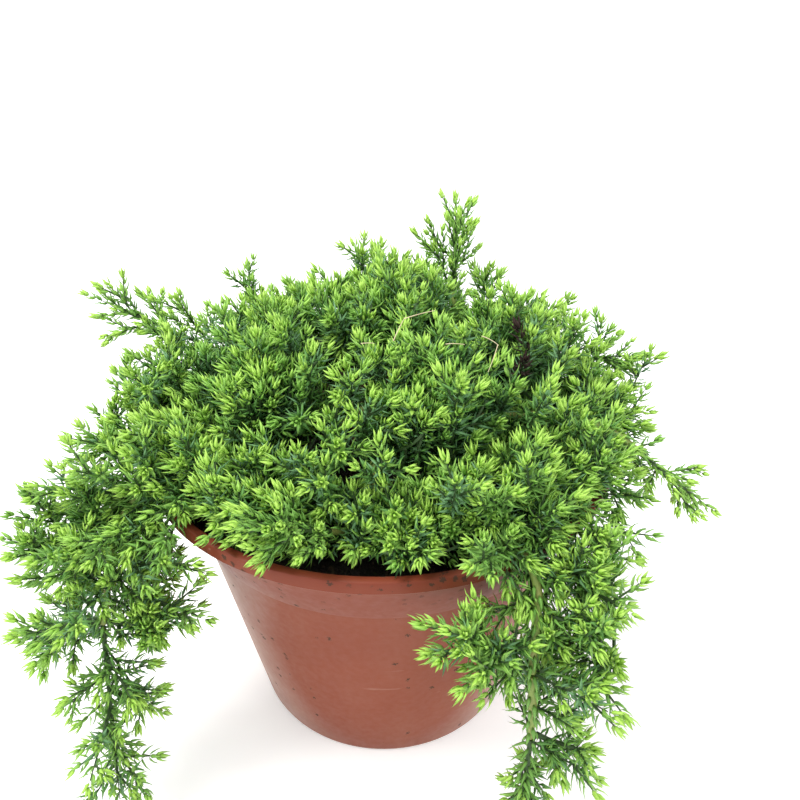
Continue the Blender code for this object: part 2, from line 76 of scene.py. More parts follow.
def drawn_up(name, profile, sides):
    """A round shell drawn through (radius, height) rings, closed by a disc at both ends."""
    bpy.ops.object.select_all(action="DESELECT")
    radius, height = profile[0]
    bpy.ops.mesh.primitive_circle_add(vertices=sides, radius=radius, location=(0.0, 0.0, height))
    obj = bpy.context.object
    obj.name = name
    bpy.ops.object.transform_apply(location=True)
    bpy.ops.object.mode_set(mode="EDIT")
    bpy.ops.mesh.select_all(action="SELECT")
    for next_radius, next_height in profile[1:]:
        bpy.ops.mesh.extrude_edges_move(
            TRANSFORM_OT_translate={"value": (0.0, 0.0, next_height - height)}
        )
        scale = next_radius / radius
        bpy.ops.transform.resize(
            value=(scale, scale, 1.0), center_override=(0.0, 0.0, next_height)
        )
        radius, height = next_radius, next_height
    bpy.ops.mesh.edge_face_add()
    bpy.ops.mesh.select_all(action="DESELECT")
    bpy.ops.mesh.select_non_manifold()
    bpy.ops.mesh.edge_face_add()
    bpy.ops.mesh.select_all(action="SELECT")
    bpy.ops.mesh.normals_make_consistent(inside=False)
    bpy.ops.object.mode_set(mode="OBJECT")
    return obj


def finish_piece(obj, node_names, material, smooth_angle=None):
    obj.data.materials.clear()
    obj.data.materials.append(material)
    if smooth_angle:
        bpy.ops.object.select_all(action="DESELECT")
        obj.select_set(True)
        bpy.context.view_layer.objects.active = obj
        bpy.ops.object.shade_smooth_by_angle(angle=math.radians(smooth_angle))
    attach(obj, "root")
    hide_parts(*node_names)


collar_foot = POT_HEIGHT - COLLAR_HEIGHT
lip_foot = POT_HEIGHT - LIP_HEIGHT


def on_wall(height):
    return wall_radius(height), height


pot_outline = [
    (BASE_RADIUS - 2 * EDGE, 0.0),
    (BASE_RADIUS - EDGE, 0.25 * EDGE),
    (BASE_RADIUS - 0.2 * EDGE, EDGE),
    on_wall(2.5 * EDGE),
    on_wall(0.030),
    on_wall(0.060),
    on_wall(collar_foot - 1.6 * EDGE),
    (WALL_TOP_RADIUS, collar_foot - 0.9 * EDGE),
    (COLLAR_FOOT_RADIUS - 0.3 * EDGE, collar_foot - 0.5 * EDGE),
    (COLLAR_FOOT_RADIUS, collar_foot),
    on_wall(collar_foot + 0.012),
    on_wall(lip_foot - EDGE),
    (wall_radius(lip_foot - EDGE) + 0.3 * EDGE, lip_foot - 0.4 * EDGE),
    (RIM_RADIUS - 0.4 * EDGE, lip_foot),
    (RIM_RADIUS, lip_foot + 0.5 * EDGE),
    (RIM_RADIUS, POT_HEIGHT - 1.2 * EDGE),
    (RIM_RADIUS - 0.3 * EDGE, POT_HEIGHT - 0.4 * EDGE),
    (RIM_RADIUS - EDGE, POT_HEIGHT),
    (RIM_RADIUS - LIP_WIDTH + EDGE, POT_HEIGHT),
    (RIM_RADIUS - LIP_WIDTH + 0.2 * EDGE, POT_HEIGHT - 0.4 * EDGE),
    (RIM_RADIUS - LIP_WIDTH, POT_HEIGHT - 1.4 * EDGE),
    (wall_radius(collar_foot + EDGE) - WALL, collar_foot + EDGE),
    (wall_radius(collar_foot - EDGE) - WALL, collar_foot - EDGE),
    (BASE_RADIUS - WALL - EDGE, FLOOR),
]
pot = drawn_up("nursery_pot", pot_outline, POT_SIDES)
for i in range(DRAIN_HOLES):
    angle = math.tau * (i + 0.5) / DRAIN_HOLES
    bpy.ops.mesh.primitive_cylinder_add(
        vertices=24,
        radius=DRAIN_RADIUS,
        depth=4 * FLOOR,
        location=(DRAIN_RING * math.sin(angle), -DRAIN_RING * math.cos(angle), 0.0),
    )
    punch = bpy.context.object
    hole = pot.modifiers.new("Drain hole", "BOOLEAN")
    hole.operation = "DIFFERENCE"
    hole.object = punch
    bpy.context.view_layer.objects.active = pot
    bpy.ops.object.modifier_apply(modifier=hole.name)
    bpy.data.objects.remove(punch, do_unlink=True)


class Painter:
    """Lays out the nodes of one tree. An input is a value, or the socket that feeds it."""

    def __init__(self, tree):
        self.tree = tree

    def feed(self, socket, value):
        if isinstance(value, bpy.types.NodeSocket):
            self.tree.links.new(value, socket)
        elif socket.type == "RGBA" and len(value) == 3:
            socket.default_value = (*value, 1.0)
        else:
            socket.default_value = value

    def set(self, node, inputs):
        for name, value in inputs.items():
            self.feed(node.inputs[name.replace("_", " ")], value)

    def add(self, kind, output=0, **inputs):
        node = self.tree.nodes.new("ShaderNode" + kind)
        self.set(node, inputs)
        return node.outputs[output]

    def noise(self, vector, scale, detail, roughness=0.5):
        return self.add("TexNoise", Vector=vector, Scale=scale, Detail=detail, Roughness=roughness)

    def grey(self, value, low, high, dark=0.0, light=1.0):
        """A grey that goes from dark where the value is low to light where it is high."""
        node = self.tree.nodes.new("ShaderNodeValToRGB")
        self.feed(node.inputs["Fac"], value)
        for element, place, tone in zip(node.color_ramp.elements, (low, high), (dark, light)):
            element.position = place
            element.color = (tone, tone, tone, 1.0)
        return node.outputs[0]

    def mix(self, share, first, second):
        node = self.tree.nodes.new("ShaderNodeMix")
        node.data_type = "RGBA"
        for i, value in ((0, share), (6, first), (7, second)):
            self.feed(node.inputs[i], value)
        return node.outputs[2]

    def maths(self, operation, first, second):
        node = self.tree.nodes.new("ShaderNodeMath")
        node.operation = operation
        self.feed(node.inputs[0], first)
        self.feed(node.inputs[1], second)
        return node.outputs[0]

    def times(self, first, second):
        return self.maths("MULTIPLY", first, second)

    def finish(self, **inputs):
        self.set(self.tree.nodes["Principled BSDF"], inputs)


def new_material(name, **inputs):
    material = bpy.data.materials.new(name)
    material.use_nodes = True
    paint = Painter(material.node_tree)
    paint.finish(**inputs)
    return material, paint


def scattered_specks(paint, vector, spacing, size, share):
    """A mask of small scattered specks: their spacing per metre, their size and their share."""
    ragged = paint.noise(vector, 1700.0, 2.0)
    cells = paint.tree.nodes.new("ShaderNodeTexVoronoi")
    paint.set(cells, {"Vector": vector, "Scale": spacing})
    distance = paint.maths("ADD", cells.outputs["Distance"], paint.times(ragged, 0.70))
    inside = paint.maths("LESS_THAN", distance, size + 0.35)
    chosen = paint.add("SeparateColor", Color=cells.outputs["Color"])
    return paint.times(inside, paint.maths("LESS_THAN", chosen, share))


TERRACOTTA = (0.206, 0.039, 0.0125)
TERRACOTTA_FADED = (0.240, 0.056, 0.023)
TERRACOTTA_DARK = (0.150, 0.026, 0.014)
POT_DUST = (0.33, 0.160, 0.115)
POT_SOIL = (0.050, 0.030, 0.020)
POT_SCUFF = (0.50, 0.34, 0.28)
# painted sheen: the pale reflection of the white studio where the pot is seen at a grazing angle
POT_PAINTED_SHEEN = (0.52, 0.375, 0.32)

pot_material, paint = new_material(
    "terracotta_polypropylene",
    Specular_IOR_Level=0.22,
    Sheen_Weight=0.06,
    Sheen_Roughness=0.32,
    Sheen_Tint=(1.0, 0.86, 0.78),
)
spot = paint.add("TexCoord", "Object")
height = paint.add("SeparateXYZ", "Z", Vector=spot)
clouds = paint.noise(spot, 16.0, 6.0, 0.6)
fine = paint.noise(spot, 420.0, 3.0)
runs = paint.noise(paint.add("Mapping", Vector=spot, Scale=(1.0, 1.0, 0.25)), 70.0, 5.0)
along_scratch = paint.add(
    "Mapping", Vector=spot, Rotation=(0.5, 0.9, 0.3), Scale=(18.0, 420.0, 420.0)
)
scratches = paint.noise(along_scratch, 1.0, 2.0)
near_rim = paint.grey(height, 0.090, 0.113)
lip_band = paint.grey(height, POT_HEIGHT - 0.0024, POT_HEIGHT - 0.0008)
collar_band = paint.grey(height, collar_foot - 0.0002, collar_foot + 0.0004)
dust = paint.times(paint.grey(runs, 0.50, 0.78), 0.16)
scuff = paint.times(paint.grey(scratches, 0.70, 0.76), paint.grey(clouds, 0.50, 0.62))
smear = paint.times(paint.grey(runs, 0.58, 0.70), paint.times(near_rim, 0.30))
low_specks = scattered_specks(paint, spot, 230.0, 0.170, 0.14)
high_specks = scattered_specks(paint, spot, 330.0, 0.270, 0.60)
high_specks = paint.times(paint.times(high_specks, paint.grey(runs, 0.44, 0.50)), near_rim)
specks = paint.maths("MAXIMUM", low_specks, high_specks)
# Painted sheen: a pale reflection of the white surroundings, painted into the base colour where
# the surface is seen at a grazing angle, patchy with the clouds and weaker on the collar.
painted_sheen = paint.times(paint.grey(paint.add("LayerWeight", "Facing", Blend=0.35), 0.54, 0.92), 0.90)
painted_sheen = paint.times(painted_sheen, paint.grey(clouds, 0.20, 0.60))
painted_sheen = paint.times(painted_sheen, paint.grey(collar_band, 0.0, 1.0, 1.0, 0.22))
colour = paint.mix(paint.grey(clouds, 0.35, 0.75), TERRACOTTA, TERRACOTTA_FADED)
for share, layer in (
    (dust, POT_DUST),
    (paint.times(lip_band, 0.75), TERRACOTTA_DARK),
    # painted shade: the collar is darkened to hold down the light it catches from the bright floor
    (paint.times(collar_band, 0.35), TERRACOTTA_DARK),
    (paint.times(scuff, 0.35), POT_SCUFF),
    (smear, POT_SOIL),
    (painted_sheen, POT_PAINTED_SHEEN),
    (paint.times(specks, 0.85), POT_SOIL),
):
    colour = paint.mix(share, colour, layer)
gloss = paint.grey(fine, 0.3, 0.7, 0.46, 0.58)
grain = paint.maths("ADD", fine, paint.times(specks, 2.0))
paint.finish(
    Base_Color=colour,
    Roughness=paint.mix(paint.maths("MAXIMUM", specks, dust), gloss, (0.85, 0.85, 0.85)),
    Normal=paint.add("Bump", Strength=0.25, Distance=0.0002, Height=grain),
)
finish_piece(pot, ["pot"], pot_material, 30)


# The compost: a moist black-brown peat mix that fills the pot to 9 mm under the rim,
# with a crumbly top. It is drawn up like the pot, its top is raised in lumps, and crumbs
# and shreds of bark lie loose on it.

SOIL_TOP = 0.106
SOIL_SHOULDER = 0.003
GAP = 0.0003
SOIL_SIDES = 120
SOIL_RINGS = 30
SOIL_RELIEF = 0.0016
CRUMBS = 620


def soil_reach(height):
    return wall_radius(height) - WALL - GAP - EDGE


soil_rim = soil_reach(SOIL_TOP - SOIL_SHOULDER)
soil_outline = [
    (BASE_RADIUS - WALL - GAP - 2 * EDGE, FLOOR + GAP),
    (soil_reach(collar_foot - EDGE), collar_foot - EDGE),
    (soil_reach(collar_foot + EDGE), collar_foot + EDGE),
    (soil_rim, SOIL_TOP - SOIL_SHOULDER),
]
soil_outline += [
    (between(soil_rim, 0.0004, (i + 1) / SOIL_RINGS), SOIL_TOP - 0.0018)
    for i in range(SOIL_RINGS)
]
soil = drawn_up("compost", soil_outline, SOIL_SIDES)


def soil_height(x, y):
    """The lumpy top of the compost, level round the trunk's foot."""
    lumps = noise.fractal(Vector((x, y, 0.3)) * 95.0, 1.0, 2.2, 4)
    swell = noise.noise(Vector((x, y, 0.0)) * 24.0)
    rough = SOIL_TOP - 0.0019 + SOIL_RELIEF * (0.9 * lumps + 0.6 * swell)
    away = min(max((math.hypot(x, y) - 0.012) / 0.006, 0.0), 1.0)
    return between(SOIL_TOP - 0.0002, min(rough, SOIL_TOP - 0.0001), away)


for vert in soil.data.vertices:
    if vert.co.z > SOIL_TOP - 0.0025:
        vert.co.z = soil_height(vert.co.x, vert.co.y)


def compost_grain_group():
    """Peat grains with pale shreds of bark among them."""
    group = bpy.data.node_groups.new("compost_grain", "ShaderNodeTree")
    for name, way, kind in (
        ("Vector", "INPUT", "Vector"),
        ("Dark", "INPUT", "Color"),
        ("Middle", "INPUT", "Color"),
        ("Fibre", "INPUT", "Color"),
        ("Colour", "OUTPUT", "Color"),
        ("Roughness", "OUTPUT", "Float"),
        ("Height", "OUTPUT", "Float"),
    ):
        group.interface.new_socket(name, in_out=way, socket_type="NodeSocket" + kind)
    paint = Painter(group)
    entry = group.nodes.new("NodeGroupInput").outputs
    grains = paint.noise(entry["Vector"], 520.0, 6.0, 0.7)
    lengthwise = paint.add("Mapping", Vector=entry["Vector"], Scale=(1.0, 0.25, 1.0))
    shreds = paint.add("TexVoronoi", "Distance", Vector=lengthwise, Scale=420.0)
    colour = paint.mix(paint.grey(grains, 0.38, 0.68), entry["Dark"], entry["Middle"])
    pale = paint.times(paint.grey(shreds, 0.72, 0.86), 0.6)
    leaving = {
        "Colour": paint.mix(pale, colour, entry["Fibre"]),
        "Roughness": paint.grey(grains, 0.3, 0.75, 0.95, 0.62),
        "Height": grains,
    }
    paint.set(group.nodes.new("NodeGroupOutput"), leaving)
    return group


compost_grain = compost_grain_group()


def compost_material(name, dark, middle, fibre):
    material, paint = new_material(name)
    grain = material.node_tree.nodes.new("ShaderNodeGroup")
    grain.node_tree = compost_grain
    spot = paint.add("TexCoord", "Object")
    paint.set(grain, {"Vector": spot, "Dark": dark, "Middle": middle, "Fibre": fibre})
    paint.finish(
        Base_Color=grain.outputs["Colour"],
        Roughness=grain.outputs["Roughness"],
        Normal=paint.add("Bump", Strength=0.9, Distance=0.0012, Height=grain.outputs["Height"]),
    )
    return material


moist_compost = compost_material(
    "moist_compost", (0.0075, 0.0050, 0.0036), (0.030, 0.019, 0.012), (0.115, 0.070, 0.038)
)
finish_piece(soil, ["soil"], moist_compost, 40)

bpy.ops.mesh.primitive_ico_sphere_add(subdivisions=1, radius=1.0, location=(0.0, 0.0, 0.0))
crumb_seed = bpy.context.object
crumb_points = np.array([vert.co[:] for vert in crumb_seed.data.vertices])
crumb_faces = np.array([face.vertices[:] for face in crumb_seed.data.polygons])
bpy.data.objects.remove(crumb_seed, do_unlink=True)


def placed(name, data):
    """An object that shows a mesh, a light or a camera."""
    obj = bpy.data.objects.new(name, data)
    bpy.context.scene.collection.objects.link(obj)
    return obj


def mesh_piece(name, points, faces):
    """One object from an array of points and an array of faces with equal corners."""
    corners = faces.shape[1]
    mesh = bpy.data.meshes.new(name)
    mesh.vertices.add(len(points))
    mesh.vertices.foreach_set("co", np.ascontiguousarray(points, np.float32).ravel())
    mesh.loops.add(faces.size)
    mesh.loops.foreach_set("vertex_index", np.ascontiguousarray(faces, np.int32).ravel())
    mesh.polygons.add(len(faces))
    mesh.polygons.foreach_set("loop_start", np.arange(0, faces.size, corners, dtype=np.int32))
    mesh.update(calc_edges=True)
    mesh.validate()
    return placed(name, mesh)


seed = random.Random("compost crumbs")
points = []
faces = []
for i in range(CRUMBS):
    reach = soil_rim * 0.97 * math.sqrt(seed.uniform(0.03, 1.0))
    angle = seed.uniform(0.0, math.tau)
    x, y = reach * math.cos(angle), reach * math.sin(angle)
    size = seed.uniform(0.0004, 0.0013) * seed.uniform(0.6, 1.2)
    stretch = np.array([seed.uniform(0.7, 2.2), seed.uniform(0.6, 1.1), seed.uniform(0.4, 0.8)])
    spin = Matrix.Rotation(seed.uniform(0.0, math.tau), 3, "Z")
    spin = spin @ Matrix.Rotation(seed.uniform(-0.5, 0.5), 3, "X")
    ragged = np.array([[seed.uniform(0.65, 1.15)] for _ in crumb_points])
    lump = (crumb_points * ragged * stretch * size) @ np.array(spin).T
    points.append(lump + np.array([x, y, soil_height(x, y) + 0.35 * size]))
    faces.append(crumb_faces + i * len(crumb_points))
crumbs = mesh_piece("compost_crumbs", np.vstack(points), np.vstack(faces))
crumb_material = compost_material(
    "compost_crumbs", (0.012, 0.008, 0.006), (0.055, 0.033, 0.020), (0.16, 0.10, 0.055)
)
finish_piece(crumbs, ["soil"], crumb_material)


# The trunk and the woody boughs: a short leaning trunk, flared at its foot, with a lower
# and an upper ring of thin boughs that leave it level and rise into the foliage. Their
# red-brown bark is furrowed lengthwise and peels in thin strips.

TRUNK_FOOT = SOIL_TOP + GAP
TRUNK_TOP = 0.1375
TRUNK_RADIUS = 0.0072
TRUNK_TIP_RADIUS = 0.0048
FLARE_RADIUS = 0.0112
FLARE_HEIGHT = 0.006
FLARE_TOP = TRUNK_FOOT + FLARE_HEIGHT
TRUNK_LEAN = Vector((0.0015, 0.0020, 0.0))
TRUNK_CLEAR = 0.0006
BOUGH_STEPS = 4
BOUGH_RINGS = 26
BOUGH_BEND = 0.38
LOWER_RADIUS = 0.0021
UPPER_RADIUS = 0.0019
SHOOT_RADIUS = 0.0016
TRAILING_RADIUS = 0.0018
STEM_ROOT_RADIUS = 0.0014
BOUGH_TIP_RADIUS = 0.0010
DROOP = 0.4
BEFORE_TIP = 0.0010
STEM_RADIUS = 0.0009
LOWER_FORK = 0.1150
MIDDLE_FORK = 0.1215
UPPER_FORK = 0.1285
UP = Vector((0.0, 0.0, 1.0))


def bearing(azimuth, reach, height):
    angle = math.radians(azimuth)
    return Vector((reach * math.sin(angle), -reach * math.cos(angle), height))


def trunk_centre(height):
    share = (height - FLARE_TOP) / (TRUNK_TOP - FLARE_TOP)
    return TRUNK_LEAN * max(share, 0.0) + UP * height


def trunk_radius(height):
    share = (height - TRUNK_FOOT) / (TRUNK_TOP - TRUNK_FOOT)
    flare = max(0.0, 1.0 - (height - TRUNK_FOOT) / FLARE_HEIGHT) ** 2
    return between(TRUNK_RADIUS, TRUNK_TIP_RADIUS, share) + (FLARE_RADIUS - TRUNK_RADIUS) * flare


class Bough:
    """One tapering limb, bent like a spline from its root's heading to its tip's."""

    def __init__(self, name, root, leaving, tip, arriving, root_radius):
        self.name = name
        self.root = root
        self.tip = tip
        self.root_radius = root_radius
        reach = BOUGH_BEND * (tip - root).length
        self.after_root = root + leaving.normalized() * reach
        self.before_tip = tip - arriving.normalized() * reach
        self.points = [self.at(i / BOUGH_STEPS) for i in range(BOUGH_STEPS + 1)]
        self.radii = [self.radius(i / BOUGH_STEPS) for i in range(BOUGH_STEPS + 1)]

    def at(self, share):
        rest = 1.0 - share
        return (
            self.root * rest**3
            + self.after_root * 3 * rest**2 * share
            + self.before_tip * 3 * rest * share**2
            + self.tip * share**3
        )

    def radius(self, share):
        return between(self.root_radius, BOUGH_TIP_RADIUS, share)


boughs = []


def add_bough(name, azimuth, fork, tip, arriving, radius):
    """A bough that leaves the trunk level, at the height of its fork."""
    out = bearing(azimuth, 1.0, 0.0)
    root = trunk_centre(fork) + out * (trunk_radius(fork - radius) + TRUNK_CLEAR)
    boughs.append(Bough(name, root, out, tip, arriving, radius))


def limb_mesh(centres, radii, sides, furrow, grain, salt):
    """Points and quads of a round limb whose bark is raised by furrow, in parts of its radius."""
    points = []
    heading = (centres[1] - centres[0]).normalized()
    side = heading.orthogonal().normalized()
    run = 0.0
    for i, (centre, radius) in enumerate(zip(centres, radii)):
        before = centres[max(i - 1, 0)]
        after = centres[min(i + 1, len(centres) - 1)]
        run += (centre - before).length
        heading = (after - before).normalized()
        side = (side - heading * side.dot(heading)).normalized()
        across = heading.cross(side)
        for j in range(sides):
            angle = math.tau * j / sides
            out = side * math.cos(angle) + across * math.sin(angle)
            place = Vector((math.cos(angle) * grain, math.sin(angle) * grain, run * 120.0 + salt))
            strips = abs(noise.noise(place)) * 2.0
            flakes = noise.noise(place * 2.7 + Vector((0.0, 0.0, run * 300.0)))
            raised = 1.0 + furrow * (strips - 0.45 + 0.4 * flakes)
            points.append(centre + out * radius * raised)
    rings = len(centres)
    quads = []
    for i in range(rings - 1):
        for j in range(sides):
            k = (j + 1) % sides
            quads.append((i * sides + j, i * sides + k, (i + 1) * sides + k, (i + 1) * sides + j))
    points += [centres[0], centres[-1]]
    foot, tip = rings * sides, rings * sides + 1
    for j in range(sides):
        k = (j + 1) % sides
        quads.append((foot, k, j, foot))
        quads.append((tip, (rings - 1) * sides + j, (rings - 1) * sides + k, tip))
    return points, quads


def limb_piece(name, limbs):
    """One object of several limbs, each a (points, quads) pair."""
    mesh = bpy.data.meshes.new(name)
    points = []
    faces = []
    for limb_points, quads in limbs:
        base = len(points)
        points += [tuple(point) for point in limb_points]
        faces += [[base + i for i in (quad[:3] if quad[3] == quad[0] else quad)] for quad in quads]
    mesh.from_pydata(points, [], faces)
    mesh.validate()
    return placed(name, mesh)


BARK_DEEP = (0.036, 0.019, 0.012)
BARK_MIDDLE = (0.115, 0.064, 0.038)
BARK_PEEL = (0.24, 0.165, 0.11)

bark, paint = new_material("peeling_juniper_bark", Roughness=0.85)
spot = paint.add("TexCoord", "Object")
strips = paint.noise(paint.add("Mapping", Vector=spot, Scale=(1.0, 1.0, 0.35)), 650.0, 5.0)
patches = paint.noise(spot, 140.0, 3.0)
peel = paint.times(paint.grey(strips, 0.55, 0.70), paint.grey(patches, 0.45, 0.60))
colour = paint.mix(paint.grey(strips, 0.35, 0.60), BARK_DEEP, BARK_MIDDLE)
paint.finish(
    Base_Color=paint.mix(peel, colour, BARK_PEEL),
    Normal=paint.add("Bump", Strength=0.7, Distance=0.0005, Height=strips),
)

trunk_heights = [between(TRUNK_FOOT, TRUNK_TOP, (i / 44) ** 1.25) for i in range(45)]
trunk_mesh = limb_mesh(
    [trunk_centre(height) for height in trunk_heights],
    [trunk_radius(height) * 0.97 for height in trunk_heights],
    sides=64,
    furrow=0.09,
    grain=5.0,
    salt=3.0,
)
trunk = limb_piece("trunk_with_bark", [trunk_mesh])
finish_piece(trunk, ["trunk"], bark, 50)


# The layout of the plant: where each mass of foliage starts and ends, how wide its space
# is, and the bough that carries it. The crown is a lower and an upper ring round a top
# mass, with lone shoots standing out of it and two branches hanging over the rim.

LOWER_RING = (
    ("front", 8, 0.099, 0.121, 0.040),
    ("front_right", 50, 0.110, 0.124, 0.042),
    ("right", 88, 0.115, 0.122, 0.040),
    ("back_right", 126, 0.112, 0.132, 0.042),
    ("back", 172, 0.107, 0.128, 0.044),
    ("back_left", 225, 0.107, 0.132, 0.044),
    ("left", 272, 0.122, 0.126, 0.043),
    ("front_left", 323, 0.097, 0.119, 0.042),
)
UPPER_RING = (
    ("front", 20, 0.074, 0.152, 0.039),
    ("right", 96, 0.082, 0.156, 0.038),
    ("back", 172, 0.080, 0.158, 0.038),
    ("back_left", 238, 0.080, 0.156, 0.038),
    ("left", 304, 0.076, 0.152, 0.040),
)
SHOOTS = (
    ("top", 138, (0.028, 0.036, 0.157), (0.028, 0.046, 0.196), 0.012),
    ("upper_left", 243, (-0.068, 0.036, 0.130), (-0.120, 0.036, 0.156), 0.018),
    ("right", 105, (0.076, 0.020, 0.134), (0.104, 0.012, 0.140), 0.011),
    ("far_right", 71, (0.088, -0.030, 0.122), (0.120, -0.037, 0.090), 0.012),
    ("front", 348, (-0.014, -0.069, 0.120), (-0.038, -0.087, 0.136), 0.013),
    ("left", 270, (-0.066, -0.0165, 0.130), (-0.108, -0.036, 0.121), 0.014),
)
TRAILING = {
    "left": (
        300,
        ((-0.0915, -0.062, 0.076),),
        (
            ("upper", 0, (-0.7, 0.7, 0.1), (-0.118, -0.052, 0.088), 0.027),
            ("inner", 1, (1.0, -0.2, 0.0), (-0.054, -0.069, 0.078), 0.018),
            ("outer", 1, (-1.0, 0.1, 0.0), (-0.122, -0.057, 0.060), 0.016),
            ("tip", 1, None, (-0.089, -0.087, 0.010), 0.020),
        ),
    ),
    "right": (
        29,
        ((0.0445, -0.0905, 0.086), (0.0460, -0.0920, 0.060)),
        (
            ("outer", 0, (1.0, 0.2, 0.0), (0.086, -0.081, 0.090), 0.026),
            ("inner", 1, (-1.0, 0.0, 0.1), (0.014, -0.097, 0.113), 0.015),
            ("lower", 2, (1.0, 0.1, 0.0), (0.082, -0.090, 0.036), 0.020),
            ("tip", 2, None, (0.045, -0.097, 0.010), 0.014),
        ),
    ),
}
TOP_TIP = (0.004, 0.022, 0.186)
TOP_HALF_WIDTH = 0.043
LOWER_START = (0.036, 0.121)
UPPER_START = (0.018, 0.142)


class Mass:
    """The space of one mass of foliage, from where its stem starts to its furthest tip."""

    def __init__(self, name, start, tip, half_width, kind, twigs):
        self.name = name
        self.start = start
        self.tip = tip
        self.middle = (start + tip) / 2
        self.along = (tip - start).normalized()
        self.half_length = (tip - start).length / 2
        self.half_width = half_width
        self.kind = kind
        self.dense = kind == "dense"
        self.twigs = twigs
        self.spray_length = 0.0245 if self.dense else 0.0190


top_start = trunk_centre(TRUNK_TOP) + UP * GAP
masses = [Mass("foliage_top", top_start, Vector(TOP_TIP), TOP_HALF_WIDTH, "dense", 11)]
for level, ring, ring_start, fork, bough_radius, twigs in (
    ("lower", LOWER_RING, LOWER_START, LOWER_FORK, LOWER_RADIUS, 12),
    ("upper", UPPER_RING, UPPER_START, UPPER_FORK, UPPER_RADIUS, 11),
):
    for name, azimuth, reach, height, half_width in ring:
        start = bearing(azimuth, *ring_start)
        tip = bearing(azimuth, reach, height)
        mass = Mass(f"foliage_{level}_{name}", start, tip, half_width, "dense", twigs)
        end = start - mass.along * GAP
        add_bough(f"bough_{level}_{name}", azimuth, fork, end, mass.along, bough_radius)
        masses.append(mass)
for name, azimuth, start, tip, half_width in SHOOTS:
    mass = Mass(f"shoot_{name}", Vector(start), Vector(tip), half_width, "shoot", 5)
    end = mass.start - mass.along * GAP
    add_bough(f"bough_shoot_{name}", azimuth, MIDDLE_FORK, end, mass.along, SHOOT_RADIUS)
    masses.append(mass)
for side_name, (azimuth, joints, twigs) in TRAILING.items():
    out = bearing(azimuth, 1.0, 0.0)
    over_rim = bearing(azimuth, RIM_RADIUS + 2 * GAP, POT_HEIGHT + 2 * GAP + TRAILING_RADIUS)
    bough_name = f"bough_trailing_{side_name}"
    add_bough(bough_name, azimuth, MIDDLE_FORK, over_rim, out, TRAILING_RADIUS)
    ends = [(over_rim, (out - UP * DROOP).normalized())]
    for i, joint in enumerate(joints):
        start, heading = ends[-1]
        root = start + heading * 3 * GAP
        joint = Vector(joint)
        arriving = ((joint - root).normalized() - UP * DROOP).normalized()
        stem = f"stem_trailing_{side_name}_{i + 1}"
        boughs.append(Bough(stem, root, heading, joint, arriving, STEM_ROOT_RADIUS))
        ends.append((joint, arriving))
    for name, joint, way, tip, half_width in twigs:
        start, heading = ends[joint]
        offset = heading * 3 * GAP
        if way:
            way = Vector(way).normalized()
            spread = STEM_RADIUS * way.cross((Vector(tip) - start).normalized()).length
            offset = way * (BOUGH_TIP_RADIUS + GAP + spread) - heading * BEFORE_TIP
        mass_name = f"foliage_trailing_{side_name}_{name}"
        masses.append(Mass(mass_name, start + offset, Vector(tip), half_width, "trailing", 7))


def bough_mesh(bough, sides, furrow, salt):
    shares = [i / BOUGH_RINGS for i in range(BOUGH_RINGS + 1)]
    centres = [bough.at(share) for share in shares]
    radii = [bough.radius(share) for share in shares]
    return limb_mesh(centres, radii, sides, furrow, 2.4, salt)


woody = [bough for bough in boughs if bough.name.startswith(("bough_lower", "bough_upper"))]
green = [bough for bough in boughs if bough not in woody]
woody_meshes = [bough_mesh(bough, 20, 0.12, 7.0 * i) for i, bough in enumerate(woody)]
bough_piece = limb_piece("boughs_with_bark", woody_meshes)
finish_piece(bough_piece, [bough.name for bough in woody], bark, 50)


# The green limbs: the stems of the lone shoots and of the two branches that hang over
# the rim. They are this year's and last year's growth, yellow-green to tan, with low
# ridges where the leaf bases run down them.

GREEN_STEM = (0.26, 0.36, 0.075)
TAN_STEM = (0.36, 0.23, 0.10)
STEM_RIDGE = (0.12, 0.10, 0.035)

green_stem, paint = new_material("green_juniper_stem", Roughness=0.6)
spot = paint.add("TexCoord", "Object")
patches = paint.noise(spot, 120.0, 4.0)
ridges = paint.noise(spot, 900.0, 3.0)
colour = paint.mix(paint.grey(patches, 0.50, 0.80), GREEN_STEM, TAN_STEM)
paint.finish(
    Base_Color=paint.mix(paint.times(ridges, 0.35), colour, STEM_RIDGE),
    Normal=paint.add("Bump", Strength=0.5, Distance=0.0003, Height=ridges),
)
green_meshes = [bough_mesh(bough, 16, 0.10, 5.0 * i) for i, bough in enumerate(green)]
green_piece = limb_piece("green_stems", green_meshes)
finish_piece(green_piece, [bough.name for bough in green], green_stem, 50)


# The twigs inside each mass. Each mass keeps to its own egg-shaped space: a leader runs
# up the middle of it, and twigs leave the leader by the golden angle, at an angle that
# closes towards the tip, as far as the space is free.

TWIG_RADIUS = 0.0008
TWIG_TIP_RADIUS = 0.0005
GOLDEN_TURN = math.radians(137.508)
SPACE_MARGIN = 0.040
LIMB_CLEAR = 0.0010
POT_CLEAR = 0.0006
RIM_ZONE = 0.068
HANG_CLEAR = 0.004
STEP = 0.0010

MIDDLES = np.array([mass.middle for mass in masses])
ALONGS = np.array([mass.along for mass in masses])
HALF_LENGTHS = np.array([mass.half_length for mass in masses])
HALF_WIDTHS = np.array([mass.half_width for mass in masses])
DENSE = np.array([mass.dense for mass in masses])
LIMB_PARTS = [(bough, i) for bough in boughs for i in range(BOUGH_STEPS)]
LIMB_STARTS = np.array([bough.points[i] for bough, i in LIMB_PARTS])
LIMB_RUNS = np.array([bough.points[i + 1] - bough.points[i] for bough, i in LIMB_PARTS])
LIMB_RADII = np.array([bough.radii[i] for bough, i in LIMB_PARTS])


def from_limbs(points):
    """How far each point stands off the nearest limb's bark."""
    offset = points[:, None, :] - LIMB_STARTS[None]
    share = np.clip((offset * LIMB_RUNS[None]).sum(-1) / (LIMB_RUNS**2).sum(-1), 0.0, 1.0)
    gap = np.linalg.norm(offset - share[..., None] * LIMB_RUNS[None], axis=-1) - LIMB_RADII
    return gap.min(axis=1)


